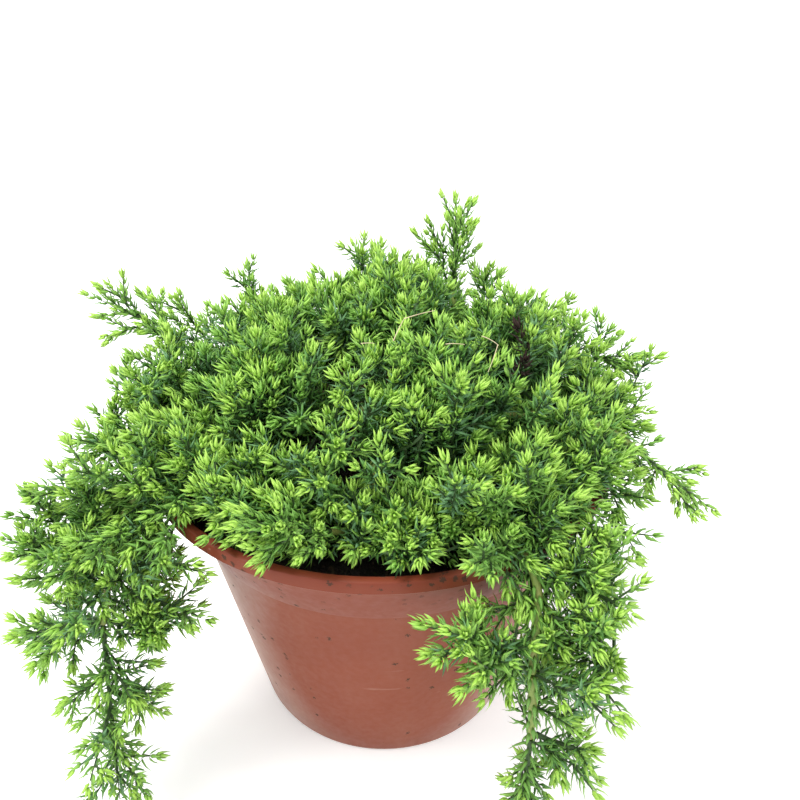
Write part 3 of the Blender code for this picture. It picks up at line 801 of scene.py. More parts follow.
def free(index, points, pot_clear=POT_CLEAR):
    """Which points are a mass's own: nearer to it than to its equals, clear of the rest."""
    points = np.atleast_2d(np.asarray(points, float))
    offset = points[:, None, :] - MIDDLES[None]
    run = (offset * ALONGS[None]).sum(-1)
    across = np.linalg.norm(offset - run[..., None] * ALONGS[None], axis=-1)
    score = np.hypot(run / HALF_LENGTHS, across / HALF_WIDTHS)
    own = score[:, index]
    rivals = DENSE == DENSE[index]
    rivals[index] = False
    good = (own <= 1.0) & (score[:, rivals] >= own[:, None] + SPACE_MARGIN).all(axis=1)
    if DENSE[index]:
        good &= (score[:, ~DENSE] >= 1.0).all(axis=1)
    x, y, height = points.T
    reach = np.hypot(x, y)
    above = height > np.where(reach < RIM_ZONE, SOIL_TOP, POT_HEIGHT) + pot_clear
    hanging = (reach > RIM_RADIUS + HANG_CLEAR) & (height > POT_CLEAR)
    good &= above | hanging
    level = np.clip(height, TRUNK_FOOT, TRUNK_TOP)
    lean = np.clip((level - FLARE_TOP) / (TRUNK_TOP - FLARE_TOP), 0.0, None)
    from_trunk = (x - TRUNK_LEAN.x * lean) ** 2 + (y - TRUNK_LEAN.y * lean) ** 2
    good &= np.sqrt(from_trunk + (height - level) ** 2) > TRUNK_RADIUS + LIMB_CLEAR
    return good & (from_limbs(points) > LIMB_CLEAR)


def free_run(index, origin, direction, most):
    steps = np.arange(1, int(most / STEP) + 1) * STEP
    inside = free(index, np.array(origin)[None] + np.array(direction)[None] * steps[:, None])
    if inside.all():
        return most
    return float(steps[np.argmin(inside)] - STEP)


def tilted(direction, angle, roll):
    side = direction.orthogonal().normalized()
    side.rotate(Matrix.Rotation(roll, 3, direction))
    return (direction * math.cos(angle) + side * math.sin(angle)).normalized()


def grow_twigs(index, mass):
    """The leader and twigs of a mass, as (start, end, root radius, tip radius)."""
    seed = random.Random(mass.name)
    leader_length = 2 * mass.half_length - 0.75 * mass.spray_length
    rods = [(mass.start, mass.start + mass.along * leader_length, STEM_RADIUS, TWIG_TIP_RADIUS)]
    roll = seed.uniform(0.0, math.tau)
    bare, lowest, highest = (0.30, 88.0, 38.0) if mass.dense else (0.12, 58.0, 34.0)
    for i in range(mass.twigs):
        share = (i + 0.5) / mass.twigs
        station = mass.start + mass.along * leader_length * between(bare, 0.92, share)
        roll += GOLDEN_TURN + seed.uniform(-0.2, 0.2)
        angle = math.radians(between(lowest, highest, share))
        direction = tilted(mass.along, angle, roll)
        run = free_run(index, station, direction, 2 * mass.half_width)
        if run < 0.5 * mass.spray_length:
            continue
        end = station + direction * max(run - 0.8 * mass.spray_length, 0.002)
        rods.append((station, end, TWIG_RADIUS, TWIG_TIP_RADIUS))
    return rods


# The plumes of the masses: shoots of two to three centimetres, with shorter sprigs that
# leave them by the golden angle. Dense masses carry them in layers under the crown's
# domed top, the others along their twigs. All lean out and turn up to the light.

DOME_MIDDLE = Vector((0.0, 0.005, 0.105))
DOME_RIGHT = 0.106
DOME_LEFT = 0.115
DOME_DEEP = 0.098
DOME_HIGH = 0.074
DOME_LUMPS = 0.055
BUMPS = (
    # where the crown dips or swells, how far that reaches, by what share
    (Vector((-0.052, 0.046, 0.155)), 0.055, -0.17),
    (Vector((0.056, 0.046, 0.160)), 0.028, -0.05),
    (Vector((0.083, 0.030, 0.151)), 0.026, 0.12),
    (Vector((-0.006, 0.032, 0.178)), 0.022, 0.12),
    (Vector((0.022, 0.038, 0.174)), 0.020, 0.10),
)
SHOOT_FORM = {
    # the share of its length that a shoot is drawn in to, and how far it is lifted
    "shoot_far_right": (0.76, 0.14),
    "shoot_top": (0.85, 0.0),
    "shoot_right": (0.85, 0.0),
}
LAYERS = (
    # share of the mass's reach, how far apart the plumes stand, vigour, side sprigs; inside the
    # crown a lower vigour also deals darker needle tints as painted shade
    (0.96, 0.0184, 1.0, 3),
    (0.76, 0.0172, 0.7, 3),
    (0.56, 0.0180, 0.45, 3),
)
HANGING_LAYERS = {
    "foliage_trailing_left_upper": (0.84, 0.0230, 1.0, 4),
    "foliage_trailing_left_inner": (0.84, 0.0230, 1.0, 4),
    "foliage_trailing_right_outer": (0.80, 0.0200, 1.0, 4),
}
LEANS = (
    # how much a plume turns up, and its share of full length, in the order they are tried
    (0.80, 1.0),
    (0.50, 1.0),
    (0.20, 1.0),
    (0.0, 1.0),
    (0.3, 0.6),
    (0.0, 0.6),
)
PLUME_LENGTH = (0.0190, 0.0265)
SIDE_SPRIG_LENGTH = 0.0215
STANDING_OUT = 0.16
FEED_LENGTH = 0.006
CROWN_REACH = 0.080

sprigs = []
fine_twigs = []
rods_of = {}


def reach_of(point):
    return math.hypot(point.x, point.y)


def over_dome(point, power):
    """The point from the dome's middle, each part divided by a power of the dome's reach."""
    offset = point - DOME_MIDDLE
    wide = DOME_RIGHT if offset.x > 0.0 else DOME_LEFT
    reaches = (wide**power, DOME_DEEP**power, DOME_HIGH**power)
    return Vector([a / b for a, b in zip((offset.x, offset.y, max(offset.z, 0.0)), reaches)])


def dome_score(point):
    """How far out a point lies, 1 being the lumpy top of the crown."""
    place = (point - DOME_MIDDLE).normalized() * 3.4
    lumps = 1.0 + DOME_LUMPS * noise.noise(place + Vector((4.0, 1.0, 7.0)))
    for place, reach, gain in BUMPS:
        lumps += gain * max(0.0, 1.0 - (point - place).length / reach)
    return over_dome(point, 1).length / lumps


def under_the_dome(end):
    """Whether a twig's end stays well inside the crown and above the rim."""
    low = reach_of(end) > RIM_ZONE and end.z < POT_HEIGHT + 0.006
    return dome_score(end) < 0.80 and not low


def within_the_hang(tip):
    """Whether a tip keeps to the narrow curtain of the hanging branches."""
    if tip.x > 0.056 + 0.13 * tip.z:
        return False
    return tip.x < 0.0 or tip.x > 0.040 or tip.z > 0.082


def cut_back(rod, may_reach):
    """A twig shortened to where its end may reach."""
    start, end, *radii = rod
    full = end
    share = 1.0
    while share > 0.1 and not may_reach(end):
        share -= 0.05
        end = start.lerp(full, share)
    return start, end, *radii


def drawn_in(rod, foot, share, lift):
    """A twig of a shoot, brought nearer to the shoot's foot and lifted a little."""
    start, end, *radii = rod
    runs = [point - foot for point in (start, end)]
    return *[foot + run * share + UP * lift * run.length for run in runs], *radii


def stray(seed, most):
    return Vector([seed.uniform(-most, most) for _ in range(3)])


def feed_plume(rods, behind, root, heading):
    """A fine twig to a plume's root, from the point of the rods nearest to a place behind it."""
    spots = []
    for start, end, *_ in rods:
        run = end - start
        share = min(max((behind - start).dot(run) / run.length_squared, 0.08), 1.0)
        spots.append(start + run * share)
    foot = min(spots, key=lambda spot: (spot - behind).length)
    fine_twigs.append((foot, root, heading))


def even_directions(count, roll):
    """Directions spread evenly over a ball."""
    place = np.arange(count) + 0.5
    level = 1.0 - 2.0 * place / count
    around = np.sqrt(1.0 - level**2)
    angle = GOLDEN_TURN * place + roll
    return np.stack([around * np.cos(angle), around * np.sin(angle), level], axis=1)


def grow_plume(may_grow, root, heading, length, vigour, lit, kind, seed, sides):
    """A shoot and its side sprigs, each shortened or left out where it has no room."""
    sprigs.append((root, heading, length, vigour, lit, kind))
    angles, rise, longer = ((42.0, 60.0), 0.36, 1.0)
    if kind == "shoot":
        angles, rise, longer = ((30.0, 44.0), 0.20, 1.25)
    roll = seed.uniform(0.0, math.tau)
    for i in range(sides):
        share = between(0.16, 0.78, (i + 0.5) / sides)
        roll += GOLDEN_TURN + seed.uniform(-0.35, 0.35)
        station = root + heading * length * share
        way = tilted(heading, math.radians(seed.uniform(*angles)), roll)
        way = (way + UP * rise + heading * 0.08).normalized()
        size = SIDE_SPRIG_LENGTH * between(0.60, 0.40, share) * seed.uniform(0.80, 1.20) * longer
        if not may_grow(station + way * size):
            size *= 0.6
            if not may_grow(station + way * size):
                continue
        sprigs.append((station, way, size, vigour, lit * seed.uniform(0.75, 1.05), kind))


def grow_layer(index, mass, layer, may_grow, seed):
    """Plumes spread evenly over one layer of a mass, each with the fine twig that feeds it."""
    shell, spacing, vigour, sides = layer
    turn = mass.along.to_track_quat("Z", "Y").to_matrix()
    scale = Vector((mass.half_width, mass.half_width, mass.half_length))
    area = 4 * math.pi * mass.half_width ** (4 / 3) * mass.half_length ** (2 / 3)
    count = int(area * shell**2 / (0.87 * spacing**2))
    for way in even_directions(count, seed.uniform(0.0, math.tau)):
        way = (Vector(way) + stray(seed, 0.12)).normalized()
        depth = shell - seed.uniform(0.0, 0.16)
        offset = turn @ Vector([a * b for a, b in zip(way, scale)])
        normal = (turn @ Vector([a / b for a, b in zip(way, scale)])).normalized()
        tip = mass.middle + offset * depth
        if mass.dense:
            limit = (0.60 + 0.40 * shell) * seed.uniform(0.86, 0.99)
            if shell > 0.9 and tip.z > 0.138 and seed.random() < STANDING_OUT:
                limit *= seed.uniform(1.05, 1.14)
            while dome_score(tip) > limit and depth > 0.0:
                depth -= 0.03
                tip = mass.middle + offset * depth
                normal = over_dome(tip, 2).normalized()
            on_rim = reach_of(tip) > RIM_ZONE and tip.z < POT_HEIGHT + 0.0035
            if depth <= 0.0 or on_rim:
                continue
        if not may_grow(tip):
            continue
        sway = stray(seed, 0.34)
        length = seed.uniform(*PLUME_LENGTH) * between(0.80, 1.0, vigour)
        length *= 1.0 if mass.dense else 0.80
        for lift, share in LEANS:
            heading = (normal * (1.0 - 0.60 * lift) + UP * lift + sway).normalized()
            root = tip - heading * length * share
            if free(index, root, pot_clear=0.0015)[0]:
                break
        else:
            continue
        # Painted light and shade: a plume that faces up is dealt brighter needle tints, and one
        # inside the crown's reach darker ones by its layer's vigour.
        shade = 1.0 if reach_of(tip) > CROWN_REACH else vigour**2
        lit = shade * (0.58 + 0.40 * max(0.0, 0.5 * heading.z + 0.5 * normal.z))
        if not mass.dense:
            lit = seed.uniform(0.60, 0.95)
        grow_plume(may_grow, root, heading, length * share, vigour, lit, mass.kind, seed, sides)
        feed_plume(rods_of[mass.name], root - heading * FEED_LENGTH, root, heading)


for index, mass in enumerate(masses):
    hanging = mass.kind == "trailing"
    rods = grow_twigs(index, mass)
    if mass.dense:
        rods = [cut_back(rod, under_the_dome) for rod in rods]
    if hanging:
        rods = [cut_back(rod, within_the_hang) for rod in rods]
    if mass.name == "foliage_trailing_right_lower":
        rods = rods[:3]
    if mass.name in SHOOT_FORM:
        rods = [drawn_in(rod, mass.start, *SHOOT_FORM[mass.name]) for rod in rods]
    rods_of[mass.name] = rods
    seed = random.Random(mass.name + " plumes")
    lowest = 0.080 if mass.name == "foliage_trailing_left_inner" else 0.0

    def may_grow(tip):
        if hanging and (tip.z < lowest or not within_the_hang(tip)):
            return False
        return bool(free(index, tip, pot_clear=0.0025)[0])

    for layer in LAYERS if mass.dense else ():
        grow_layer(index, mass, layer, may_grow, seed)
    if mass.dense:
        continue
    if mass.name in HANGING_LAYERS:
        grow_layer(index, mass, HANGING_LAYERS[mass.name], may_grow, seed)
    for start, end, *_ in rods:
        run = end - start
        direction = run.normalized()
        length = run.length + free_run(index, end, direction, 0.75 * mass.spray_length) * 0.95
        while hanging and length > 0.008 and not may_grow(start + direction * length):
            length *= 0.9
        lit = seed.uniform(0.70, 1.05) if hanging else 0.95
        sides = max(int(length / (0.0045 if mass.name == "shoot_front" else 0.0060)), 2)
        sides = 2 if mass.name == "shoot_far_right" else sides
        grow_plume(may_grow, start, direction, length, 1.0, lit, mass.kind, seed, sides)


# The skirt: short plumes round the foot of the crown, dealt dark tints as painted shade.
# They lean out over the compost and the rim, grow from the lower ring's twigs, and hide its
# boughs.

SKIRT = (
    # reach, height and length of the plumes of one round
    (0.0825, 0.1215, 0.021),
    (0.0750, 0.1145, 0.019),
    (0.0700, 0.1215, 0.020),
    (0.0600, 0.1180, 0.017),
)
SKIRT_APART = 0.0125


def in_the_open(tip):
    """Whether a tip is clear of the compost, the rim and every limb, and inside the dome."""
    if tip.z < (SOIL_TOP + 0.0022 if reach_of(tip) < 0.0772 else POT_HEIGHT + 0.0028):
        return False
    return from_limbs(np.array([tip]))[0] > LIMB_CLEAR and dome_score(tip) < 1.0


seed = random.Random("skirt")
lower_rods = [rod for mass in masses if "foliage_lower" in mass.name for rod in rods_of[mass.name]]
for tier, (reach, height, length) in enumerate(SKIRT):
    count = int(math.tau * reach / SKIRT_APART)
    for i in range(count):
        azimuth = math.degrees(math.tau * (i + 0.5 * tier) / count) + seed.uniform(-4.0, 4.0)
        size = length * seed.uniform(0.85, 1.15)
        tip = bearing(
            azimuth, reach * seed.uniform(0.97, 1.03), height + seed.uniform(-0.001, 0.005)
        )
        root = bearing(azimuth + seed.uniform(-14.0, 14.0), reach - 0.93 * size, SOIL_TOP + 0.003)
        root.z = max(root.z, tip.z - 0.4 * size)
        heading = (tip - root).normalized()
        root = tip - heading * size
        if in_the_open(tip) and in_the_open(root):
            # painted shade: a low light value deals the skirt plumes their dark tints
            lit = seed.uniform(0.15, 0.50)
            grow_plume(in_the_open, root, heading, size, 0.9, lit, "dense", seed, 4)
            feed_plume(lower_rods, root - heading * FEED_LENGTH, root, heading)


# The plumes of the green limbs. The two hanging branches carry sprays from the rim down,
# thinning out towards the floor, and every green limb bears short pressed needles in
# whorls of three once it is clear of the crown's middle.

NEEDLE_STATION = 0.0028
TRIES = 6


def clear_of_wall(tip):
    wall = RIM_RADIUS if tip.z > lip_foot - 0.006 else wall_radius(tip.z) + 0.002
    return reach_of(tip) > wall + 0.003 or tip.z > POT_HEIGHT + 0.003


def beside_pot(tip):
    """Whether a tip hangs clear of the pot and the floor, and inside the plant's own reach."""
    inside = tip.x > -0.122 and tip.y > -0.106 and tip.z > 0.002
    return inside and clear_of_wall(tip) and within_the_hang(tip)


stem_needles = []
for bough in green:
    seed = random.Random(bough.name + " plumes")
    length = sum((bough.points[i + 1] - bough.points[i]).length for i in range(BOUGH_STEPS))
    on_trunk = bough.name.startswith("bough")
    first = 0.55 if on_trunk else 0.0
    stations = int(length * (1.0 - first) / NEEDLE_STATION)
    roll = seed.uniform(0.0, math.tau)
    for i in range(stations + 1):
        share = between(first, 1.0, i / stations)
        station = bough.at(share)
        ahead = min(share + 0.02, 1.0)
        heading = (bough.at(ahead) - bough.at(ahead - 0.02)).normalized()
        stem_needles.append((station, heading, bough.radius(share)))
        if "shoot" in bough.name or (i % 2 and not on_trunk) or (station.z < 0.055 and i % 4):
            continue
        wanted = 2 if "left" in bough.name and station.z > 0.075 else 1
        for _ in range(TRIES):
            roll += GOLDEN_TURN
            way = tilted(heading, math.radians(seed.uniform(48.0, 70.0)), roll)
            way = (way + UP * 0.35).normalized()
            size = seed.uniform(0.018, 0.030) * (1.0 if station.z > 0.055 else 0.7)
            root = station + way * bough.radius(share)
            tip = root + way * size
            if beside_pot(tip) and beside_pot(root.lerp(tip, 0.5)):
                lit = seed.uniform(0.60, 0.95)
                grow_plume(beside_pot, root, way, size, 1.0, lit, "trailing", seed, 4)
                wanted -= 1
            if not wanted:
                break


# The curtain over the rim: sprays of the lower ring that spill over the lip beside the
# two hanging branches and join them to the crown.

RIM_CURTAIN = (
    # first and last bearing, reach and height of the tips, how far apart they stand
    (12.0, 64.0, 0.0965, 0.1120, 0.0095),
    (20.0, 56.0, 0.0980, 0.0990, 0.0120),
    (60.0, 82.0, 0.0900, 0.1080, 0.0100),
    (64.0, 106.0, 0.0930, 0.1130, 0.0100),
    (283.0, 326.0, 0.0950, 0.1090, 0.0095),
    (286.0, 320.0, 0.0950, 0.0950, 0.0100),
)
CURTAIN_ROOT = 0.0800

seed = random.Random("curtain")
for first, last, reach, height, apart in RIM_CURTAIN:
    count = int(math.radians(last - first) * reach / apart)
    for i in range(count):
        azimuth = between(first, last, (i + 0.5) / count) + seed.uniform(-2.5, 2.5)
        tip = bearing(
            azimuth, reach * seed.uniform(0.97, 1.04), height + seed.uniform(-0.005, 0.005)
        )
        azimuth += seed.uniform(-5.0, 5.0)
        root = bearing(azimuth, CURTAIN_ROOT, POT_HEIGHT + seed.uniform(0.007, 0.011))
        run = tip - root
        way = run.normalized()
        if clear_of_wall(tip) and clear_of_wall(root.lerp(tip, 0.5)):
            lit = seed.uniform(0.45, 0.95)
            grow_plume(clear_of_wall, root, way, run.length, 1.0, lit, "trailing", seed, 4)
            feed_plume(lower_rods, root - run * 0.3, root, way)


# Single plumes that stand out by themselves in the crown's outline and on the hanging
# branches, or that close a gap in the crown. Each grows from inside its neighbours.

LONE_PLUMES = (
    # root, tip, side sprigs, kind
    ((-0.0905, -0.0660, 0.0700), (-0.0775, -0.0720, 0.0460), 7, "trailing"),
    ((-0.0060, 0.0300, 0.1620), (-0.0110, 0.0320, 0.1765), 3, "trailing"),
    ((0.0462, -0.0915, 0.0880), (0.0705, -0.0930, 0.0825), 5, "trailing"),
    ((0.0462, -0.0925, 0.0740), (0.0570, -0.0940, 0.0700), 3, "trailing"),
    ((0.0462, -0.0935, 0.0600), (0.0690, -0.0940, 0.0420), 5, "trailing"),
    ((-0.0800, -0.0650, 0.1040), (-0.0535, -0.0720, 0.1105), 4, "trailing"),
    ((-0.0830, -0.0630, 0.0940), (-0.0525, -0.0710, 0.0865), 5, "trailing"),
    ((-0.0720, 0.0360, 0.1340), (-0.0855, 0.0360, 0.1540), 4, "shoot"),
    ((0.0250, 0.0380, 0.1610), (0.0200, 0.0400, 0.1740), 2, "shoot"),
    ((0.0400, 0.0390, 0.1500), (0.0410, 0.0430, 0.1620), 4, "trailing"),
    ((-0.0520, 0.0390, 0.1480), (-0.0570, 0.0400, 0.1620), 4, "trailing"),
    ((-0.0100, -0.0360, 0.1400), (-0.0075, -0.0470, 0.1590), 5, "dense"),
    ((-0.0020, -0.0300, 0.1460), (-0.0030, -0.0400, 0.1640), 4, "dense"),
    ((-0.0130, -0.0500, 0.1310), (-0.0110, -0.0640, 0.1470), 5, "dense"),
    ((-0.0150, -0.0560, 0.1260), (-0.0150, -0.0730, 0.1400), 4, "dense"),
)
for root, tip, sides, kind in LONE_PLUMES:
    root = Vector(root)
    run = Vector(tip) - root
    grow_plume(clear_of_wall, root, run.normalized(), run.length, 1.0, 0.80, kind, seed, sides)


# The wood of the foliage: the leaders and twigs of the masses, the fine twigs that feed
# the plumes, and the thin green axis of every sprig. Each is a tapering tube, closed at
# both ends, and the finer it is the fewer sides it has.

# the twigs' own green, kept dark as partly painted shade that deepens the gaps between the plumes
GREEN_TWIG = (0.035, 0.075, 0.018)
FINE_TWIG_RADIUS = 0.00060
AXIS_RADIUS = 0.00050
AXIS_TIP_RADIUS = 0.0002


def chain_mesh(chains, sides):
    """Points and triangles of many thin tubes, each a row of centres and radii of equal count."""
    centres = np.array([chain[0] for chain in chains])
    radii = np.array([chain[1] for chain in chains])
    rows, rings = centres.shape[:2]
    heading = centres[:, -1] - centres[:, 0]
    heading /= np.linalg.norm(heading, axis=1, keepdims=True) + 1e-12
    helper = np.where(np.abs(heading[:, 2:3]) < 0.9, [[0.0, 0.0, 1.0]], [[1.0, 0.0, 0.0]])
    side = np.cross(heading, helper)
    side /= np.linalg.norm(side, axis=1, keepdims=True)
    across = np.cross(heading, side)
    angles = np.arange(sides) * math.tau / sides
    out = side[:, None, None, :] * np.cos(angles)[None, None, :, None]
    out = out + across[:, None, None, :] * np.sin(angles)[None, None, :, None]
    points = centres[:, :, None, :] + out * radii[:, :, None, None]
    triangles = []
    for i in range(rings - 1):
        for j in range(sides):
            a, b = i * sides + j, i * sides + (j + 1) % sides
            triangles += [(a, b, b + sides), (a, b + sides, a + sides)]
    last = (rings - 1) * sides
    for j in range(1, sides - 1):
        triangles += [(0, j + 1, j), (last, last + j, last + j + 1)]
    faces = np.array(triangles)[None] + (np.arange(rows) * rings * sides)[:, None, None]
    return points.reshape(-1, 3), faces.reshape(-1, 3)


def curved(start, end, heading, steps, radius, tip_radius):
    """A twig that leaves one point and arrives at another with a heading."""
    handle = end - heading * 0.5 * (end - start).length
    shares = [i / steps for i in range(steps + 1)]
    centres = [
        tuple(start * (1.0 - share) ** 2 + handle * 2 * (1.0 - share) * share + end * share**2)
        for share in shares
    ]
    return centres, [between(radius, tip_radius, share) for share in shares]


rod_chains = [
    curved(start, end, (end - start).normalized(), 4, radius, tip_radius)
    for rods in rods_of.values()
    for start, end, radius, tip_radius in rods
]
twig_chains = []
for start, end, heading in fine_twigs:
    bow = (start + end) / 2 - heading * 0.25 * (end - start).length
    if reach_of(bow) > CROWN_REACH and bow.z < POT_HEIGHT + 0.004:
        heading = (end - start).normalized()
    twig_chains.append(curved(start, end, heading, 4, FINE_TWIG_RADIUS, AXIS_RADIUS))
axis_chains = [
    curved(root, root + heading * length * 0.9, heading, 2, AXIS_RADIUS, AXIS_TIP_RADIUS)
    for root, heading, length, *_ in sprigs
]
mass_names = [mass.name for mass in masses]
green_twig, _ = new_material("green_twig", Base_Color=GREEN_TWIG, Roughness=0.65)
for name, chains, sides, smooth_angle in (
    ("leaders_and_twigs", rod_chains, 8, 60),
    ("fine_twigs", twig_chains, 4, 80),
    ("sprig_axes", axis_chains, 3, 80),
):
    piece = mesh_piece(name, *chain_mesh(chains, sides))
    finish_piece(piece, mass_names, green_twig, smooth_angle)


# The needles: stiff and awl-shaped, 3 to 6 mm long, in whorls of three. Each is a closed
# three-sided blade with a flat upper face and a keel. They stand out at the sprig's foot
# and close up into a bright bud at its tip. Each sprig is dealt its tints.

WHORL_STEP = 0.00235
BUD_ZONE = 0.0030
BUD_STEP = 0.00115
OPENING_ZONE = 0.0065
AGEING_ZONE = 0.010
NEEDLE_THICKNESS = 0.34
BELLY = ((0.30, 1.0, 0.40),)
LONG_BELLY = ((0.26, 1.0, 0.40), (0.62, 0.58, 0.25))
PIECE_TRIANGLES = 190000
# Each kind of needle comes in brighter and darker tints, dealt partly as painted light and shade:
# sprigs that face up, stand at the crown's outside or lie in the painted light on its top and
# right get the brighter ones, shaded ones inside the darker ones.
TINTS = (
    # name, base colour, roughness
    ("bud_yellow_green", (0.400, 0.660, 0.105), 0.52),
    ("bud_lime", (0.325, 0.580, 0.096), 0.52),
    ("bud_green", (0.230, 0.465, 0.078), 0.52),
    ("young_light", (0.260, 0.490, 0.090), 0.55),
    ("young_green", (0.176, 0.375, 0.070), 0.56),
    ("old_green", (0.105, 0.265, 0.054), 0.58),
    ("old_glaucous", (0.140, 0.300, 0.128), 0.62),
    # painted shade: the old needles of dim sprigs inside the crown and in the skirt
    ("old_deep", (0.010, 0.062, 0.007), 0.68),
    ("dead_brown", (0.030, 0.014, 0.010), 0.80),
)
FRESH_GROWTH_AND_PAINTED_LIGHT = (
    # where the growth is freshest, how far that reaches, how much brighter it is; the last four
    # are painted light on the crown's top and right side and on the right hanging branch
    (Vector((-0.020, -0.074, 0.124)), 0.050, 0.65),
    (Vector((0.000, -0.080, 0.130)), 0.022, 0.75),
    (Vector((0.017, -0.074, 0.136)), 0.018, 0.60),
    (Vector((0.020, -0.062, 0.150)), 0.018, 0.50),
    (Vector((-0.085, -0.030, 0.125)), 0.035, 0.55),
    (Vector((0.060, -0.010, 0.150)), 0.060, 0.30),
    (Vector((0.005, 0.020, 0.180)), 0.050, 0.35),
    (Vector((0.050, -0.085, 0.110)), 0.040, 0.20),
    (Vector((0.060, -0.088, 0.070)), 0.055, 0.28),
)
DEAD_PLACE = Vector((0.0440, -0.0220, 0.1560))
DEAD_SPRIGS = 2


def whorl(rows, centre, heading, turn, tilt, size, width, offset, left, seed):
    """Three needles round a stem, as rows of numbers for needle_mesh."""
    side = heading.orthogonal().normalized()
    across = heading.cross(side)
    for k in range(3):
        angle = turn + math.tau * k / 3 + seed.uniform(-0.18, 0.18)
        out = side * math.cos(angle) + across * math.sin(angle)
        lean = tilt + seed.uniform(-0.16, 0.16)
        direction = heading * math.cos(lean) + out * math.sin(lean)
        face = (heading * math.sin(lean) - out * math.cos(lean)).normalized()
        base = centre + out * offset
        reach = size * seed.uniform(0.85, 1.15)
        rows.append((*base, *direction, *face, reach, width, seed.uniform(0.03, 0.15), left))


def needles_of(sprig, seed):
    """Rows of base, direction, face normal, length, width, bend and distance from the tip."""
    root, heading, length, vigour, _, kind = sprig
    places = []
    run = 0.0010
    while run < length - BUD_ZONE:
        places.append(run)
        run += WHORL_STEP * between(1.3, 1.0, vigour) * seed.uniform(0.85, 1.15)
    while run < length:
        places.append(run)
        run += BUD_STEP
    turn = seed.uniform(0.0, math.tau)
    girth = seed.uniform(0.90, 1.10)
    rows = []
    for place in places:
        left = length - place
        turn += math.pi / 3 + seed.uniform(-0.12, 0.12)
        opened = min(left / OPENING_ZONE, 1.0)
        aged = min(max((left - OPENING_ZONE) / AGEING_ZONE, 0.0), 1.0)
        if kind == "shoot":
            tilt = math.radians(between(13.0, 34.0, opened) + 8.0 * aged)
            size = between(0.0036, 0.0044, opened)
        else:
            tilt = math.radians(between(17.0, 55.0, opened**0.85) + 7.0 * aged)
            size = between(0.0040, 0.0056, opened) + 0.0004 * aged
        width = between(0.00150, 0.00132, opened) - 0.00006 * aged
        centre = root + heading * place
        whorl(rows, centre, heading, turn, tilt, size * girth, width, 0.0002, left, seed)
    point = root + heading * (length - 0.0008)
    face = heading.orthogonal().normalized()
    rows.append((*point, *heading, *face, 0.0034, 0.0014, 0.05, 0.0))
    return rows


def needle_mesh(rows, sections):
    """Points and triangles of many needles, each a closed keeled blade that ends in a point."""
    base, direction, face = rows[:, 0:3], rows[:, 3:6], rows[:, 6:9]
    length, width, bend = rows[:, 9:10], rows[:, 10:11], rows[:, 11:12]
    side = np.cross(direction, face)
    points = [base]
    for place, share, sag in sections:
        middle = base + direction * length * place - face * bend * length * sag
        points += [
            middle + side * width * share / 2,
            middle - side * width * share / 2,
            middle - face * width * share * NEEDLE_THICKNESS,
        ]
    points.append(base + direction * length + face * bend * length)
    points = np.stack(points, axis=1)
    tip = points.shape[1] - 1
    last = tip - 3
    blade = [(0, 1, 2), (0, 3, 1), (0, 2, 3)]
    blade += [(tip, last + 1, last), (tip, last, last + 2), (tip, last + 2, last + 1)]
    if len(sections) == 2:
        for a, b in ((1, 2), (3, 1), (2, 3)):
            blade += [(a, a + 3, b), (b, a + 3, b + 3)]
    faces = np.array(blade)[None] + (np.arange(len(rows)) * points.shape[1])[:, None, None]
    return points.reshape(-1, 3), faces.reshape(-1, 3)


def from_dead_place(number):
    root, heading, length, *_ = sprigs[number]
    return (root + heading * 0.5 * length - DEAD_PLACE).length


# How bright a tint a sprig is dealt: its painted light and shade, the fresher growth of shoots and
# of the fresh places, the painted light on the crown's top and right, and a random spread.
def brightness(sprig, seed):
    root, _, _, _, lit, kind = sprig
    bright = lit + seed.uniform(-0.20, 0.20) + (0.50 if kind == "shoot" else 0.0)
    for place, reach, gain in FRESH_GROWTH_AND_PAINTED_LIGHT:
        bright += gain * max(0.0, 1.0 - (root - place).length / reach)
    if kind == "trailing":
        bright += 0.12
    return bright + 0.30 * noise.noise(root * 38.0)


rows_by_tint = {name: [] for name, _, _ in TINTS}
dead = sorted(range(len(sprigs)), key=from_dead_place)[:DEAD_SPRIGS]
seed = random.Random("needles")
for number, sprig in enumerate(sprigs):
    kind = sprig[-1]
    bright = brightness(sprig, seed)
    bud = "bud_yellow_green" if bright > 0.84 else "bud_lime" if bright > 0.54 else "bud_green"
    young = "young_light" if bright > 0.68 else "young_green" if bright > 0.36 else "old_green"
    # the least lit sprigs get the painted-shade tint on their old needles
    if bright < 0.40:
        old = "old_deep"
    else:
        old = "old_glaucous" if seed.random() < 0.38 else "old_green"
    if kind == "trailing":
        old = "old_glaucous" if seed.random() < 0.20 else None
        old = old or ("old_green" if seed.random() < 0.20 else "young_green")
    if kind == "shoot":
        young, old = "young_light", "young_green" if seed.random() < 0.5 else "young_light"
    if number in dead:
        bud = young = old = "dead_brown"
    bud_zone = seed.uniform(0.0019, 0.0036)
    young_zone = bud_zone + seed.uniform(0.0020, 0.0042)
    for row in needles_of(sprig, seed):
        left = row[-1]
        tint = bud if left < bud_zone else young if left < young_zone else old
        rows_by_tint[tint].append(row)
rows = rows_by_tint["young_green"]
turn = 0.0
for centre, heading, radius in stem_needles:
    turn += math.pi / 3
    whorl(rows, centre, heading, turn, 0.40, 0.0052, 0.0016, radius * 0.9, 0.0, seed)

for name, colour, roughness in TINTS:
    sections = BELLY if name.startswith("old") else LONG_BELLY
    parts = math.ceil(len(rows_by_tint[name]) * 6 * len(sections) / PIECE_TRIANGLES)
    material, _ = new_material(
        f"needles_{name}", Base_Color=colour, Roughness=roughness, Specular_IOR_Level=0.35
    )
    for i, part in enumerate(np.array_split(np.array(rows_by_tint[name]), parts)):
        piece_name = f"needles_{name}_{i + 1}" if parts > 1 else f"needles_{name}"
        piece = mesh_piece(piece_name, *needle_mesh(part, sections))
        finish_piece(piece, mass_names, material)


# Dry stalks: a few straw-coloured grass stalks and dead twigs that have fallen on the
# crown and lie across the sprigs. Each is a thin bent stem.

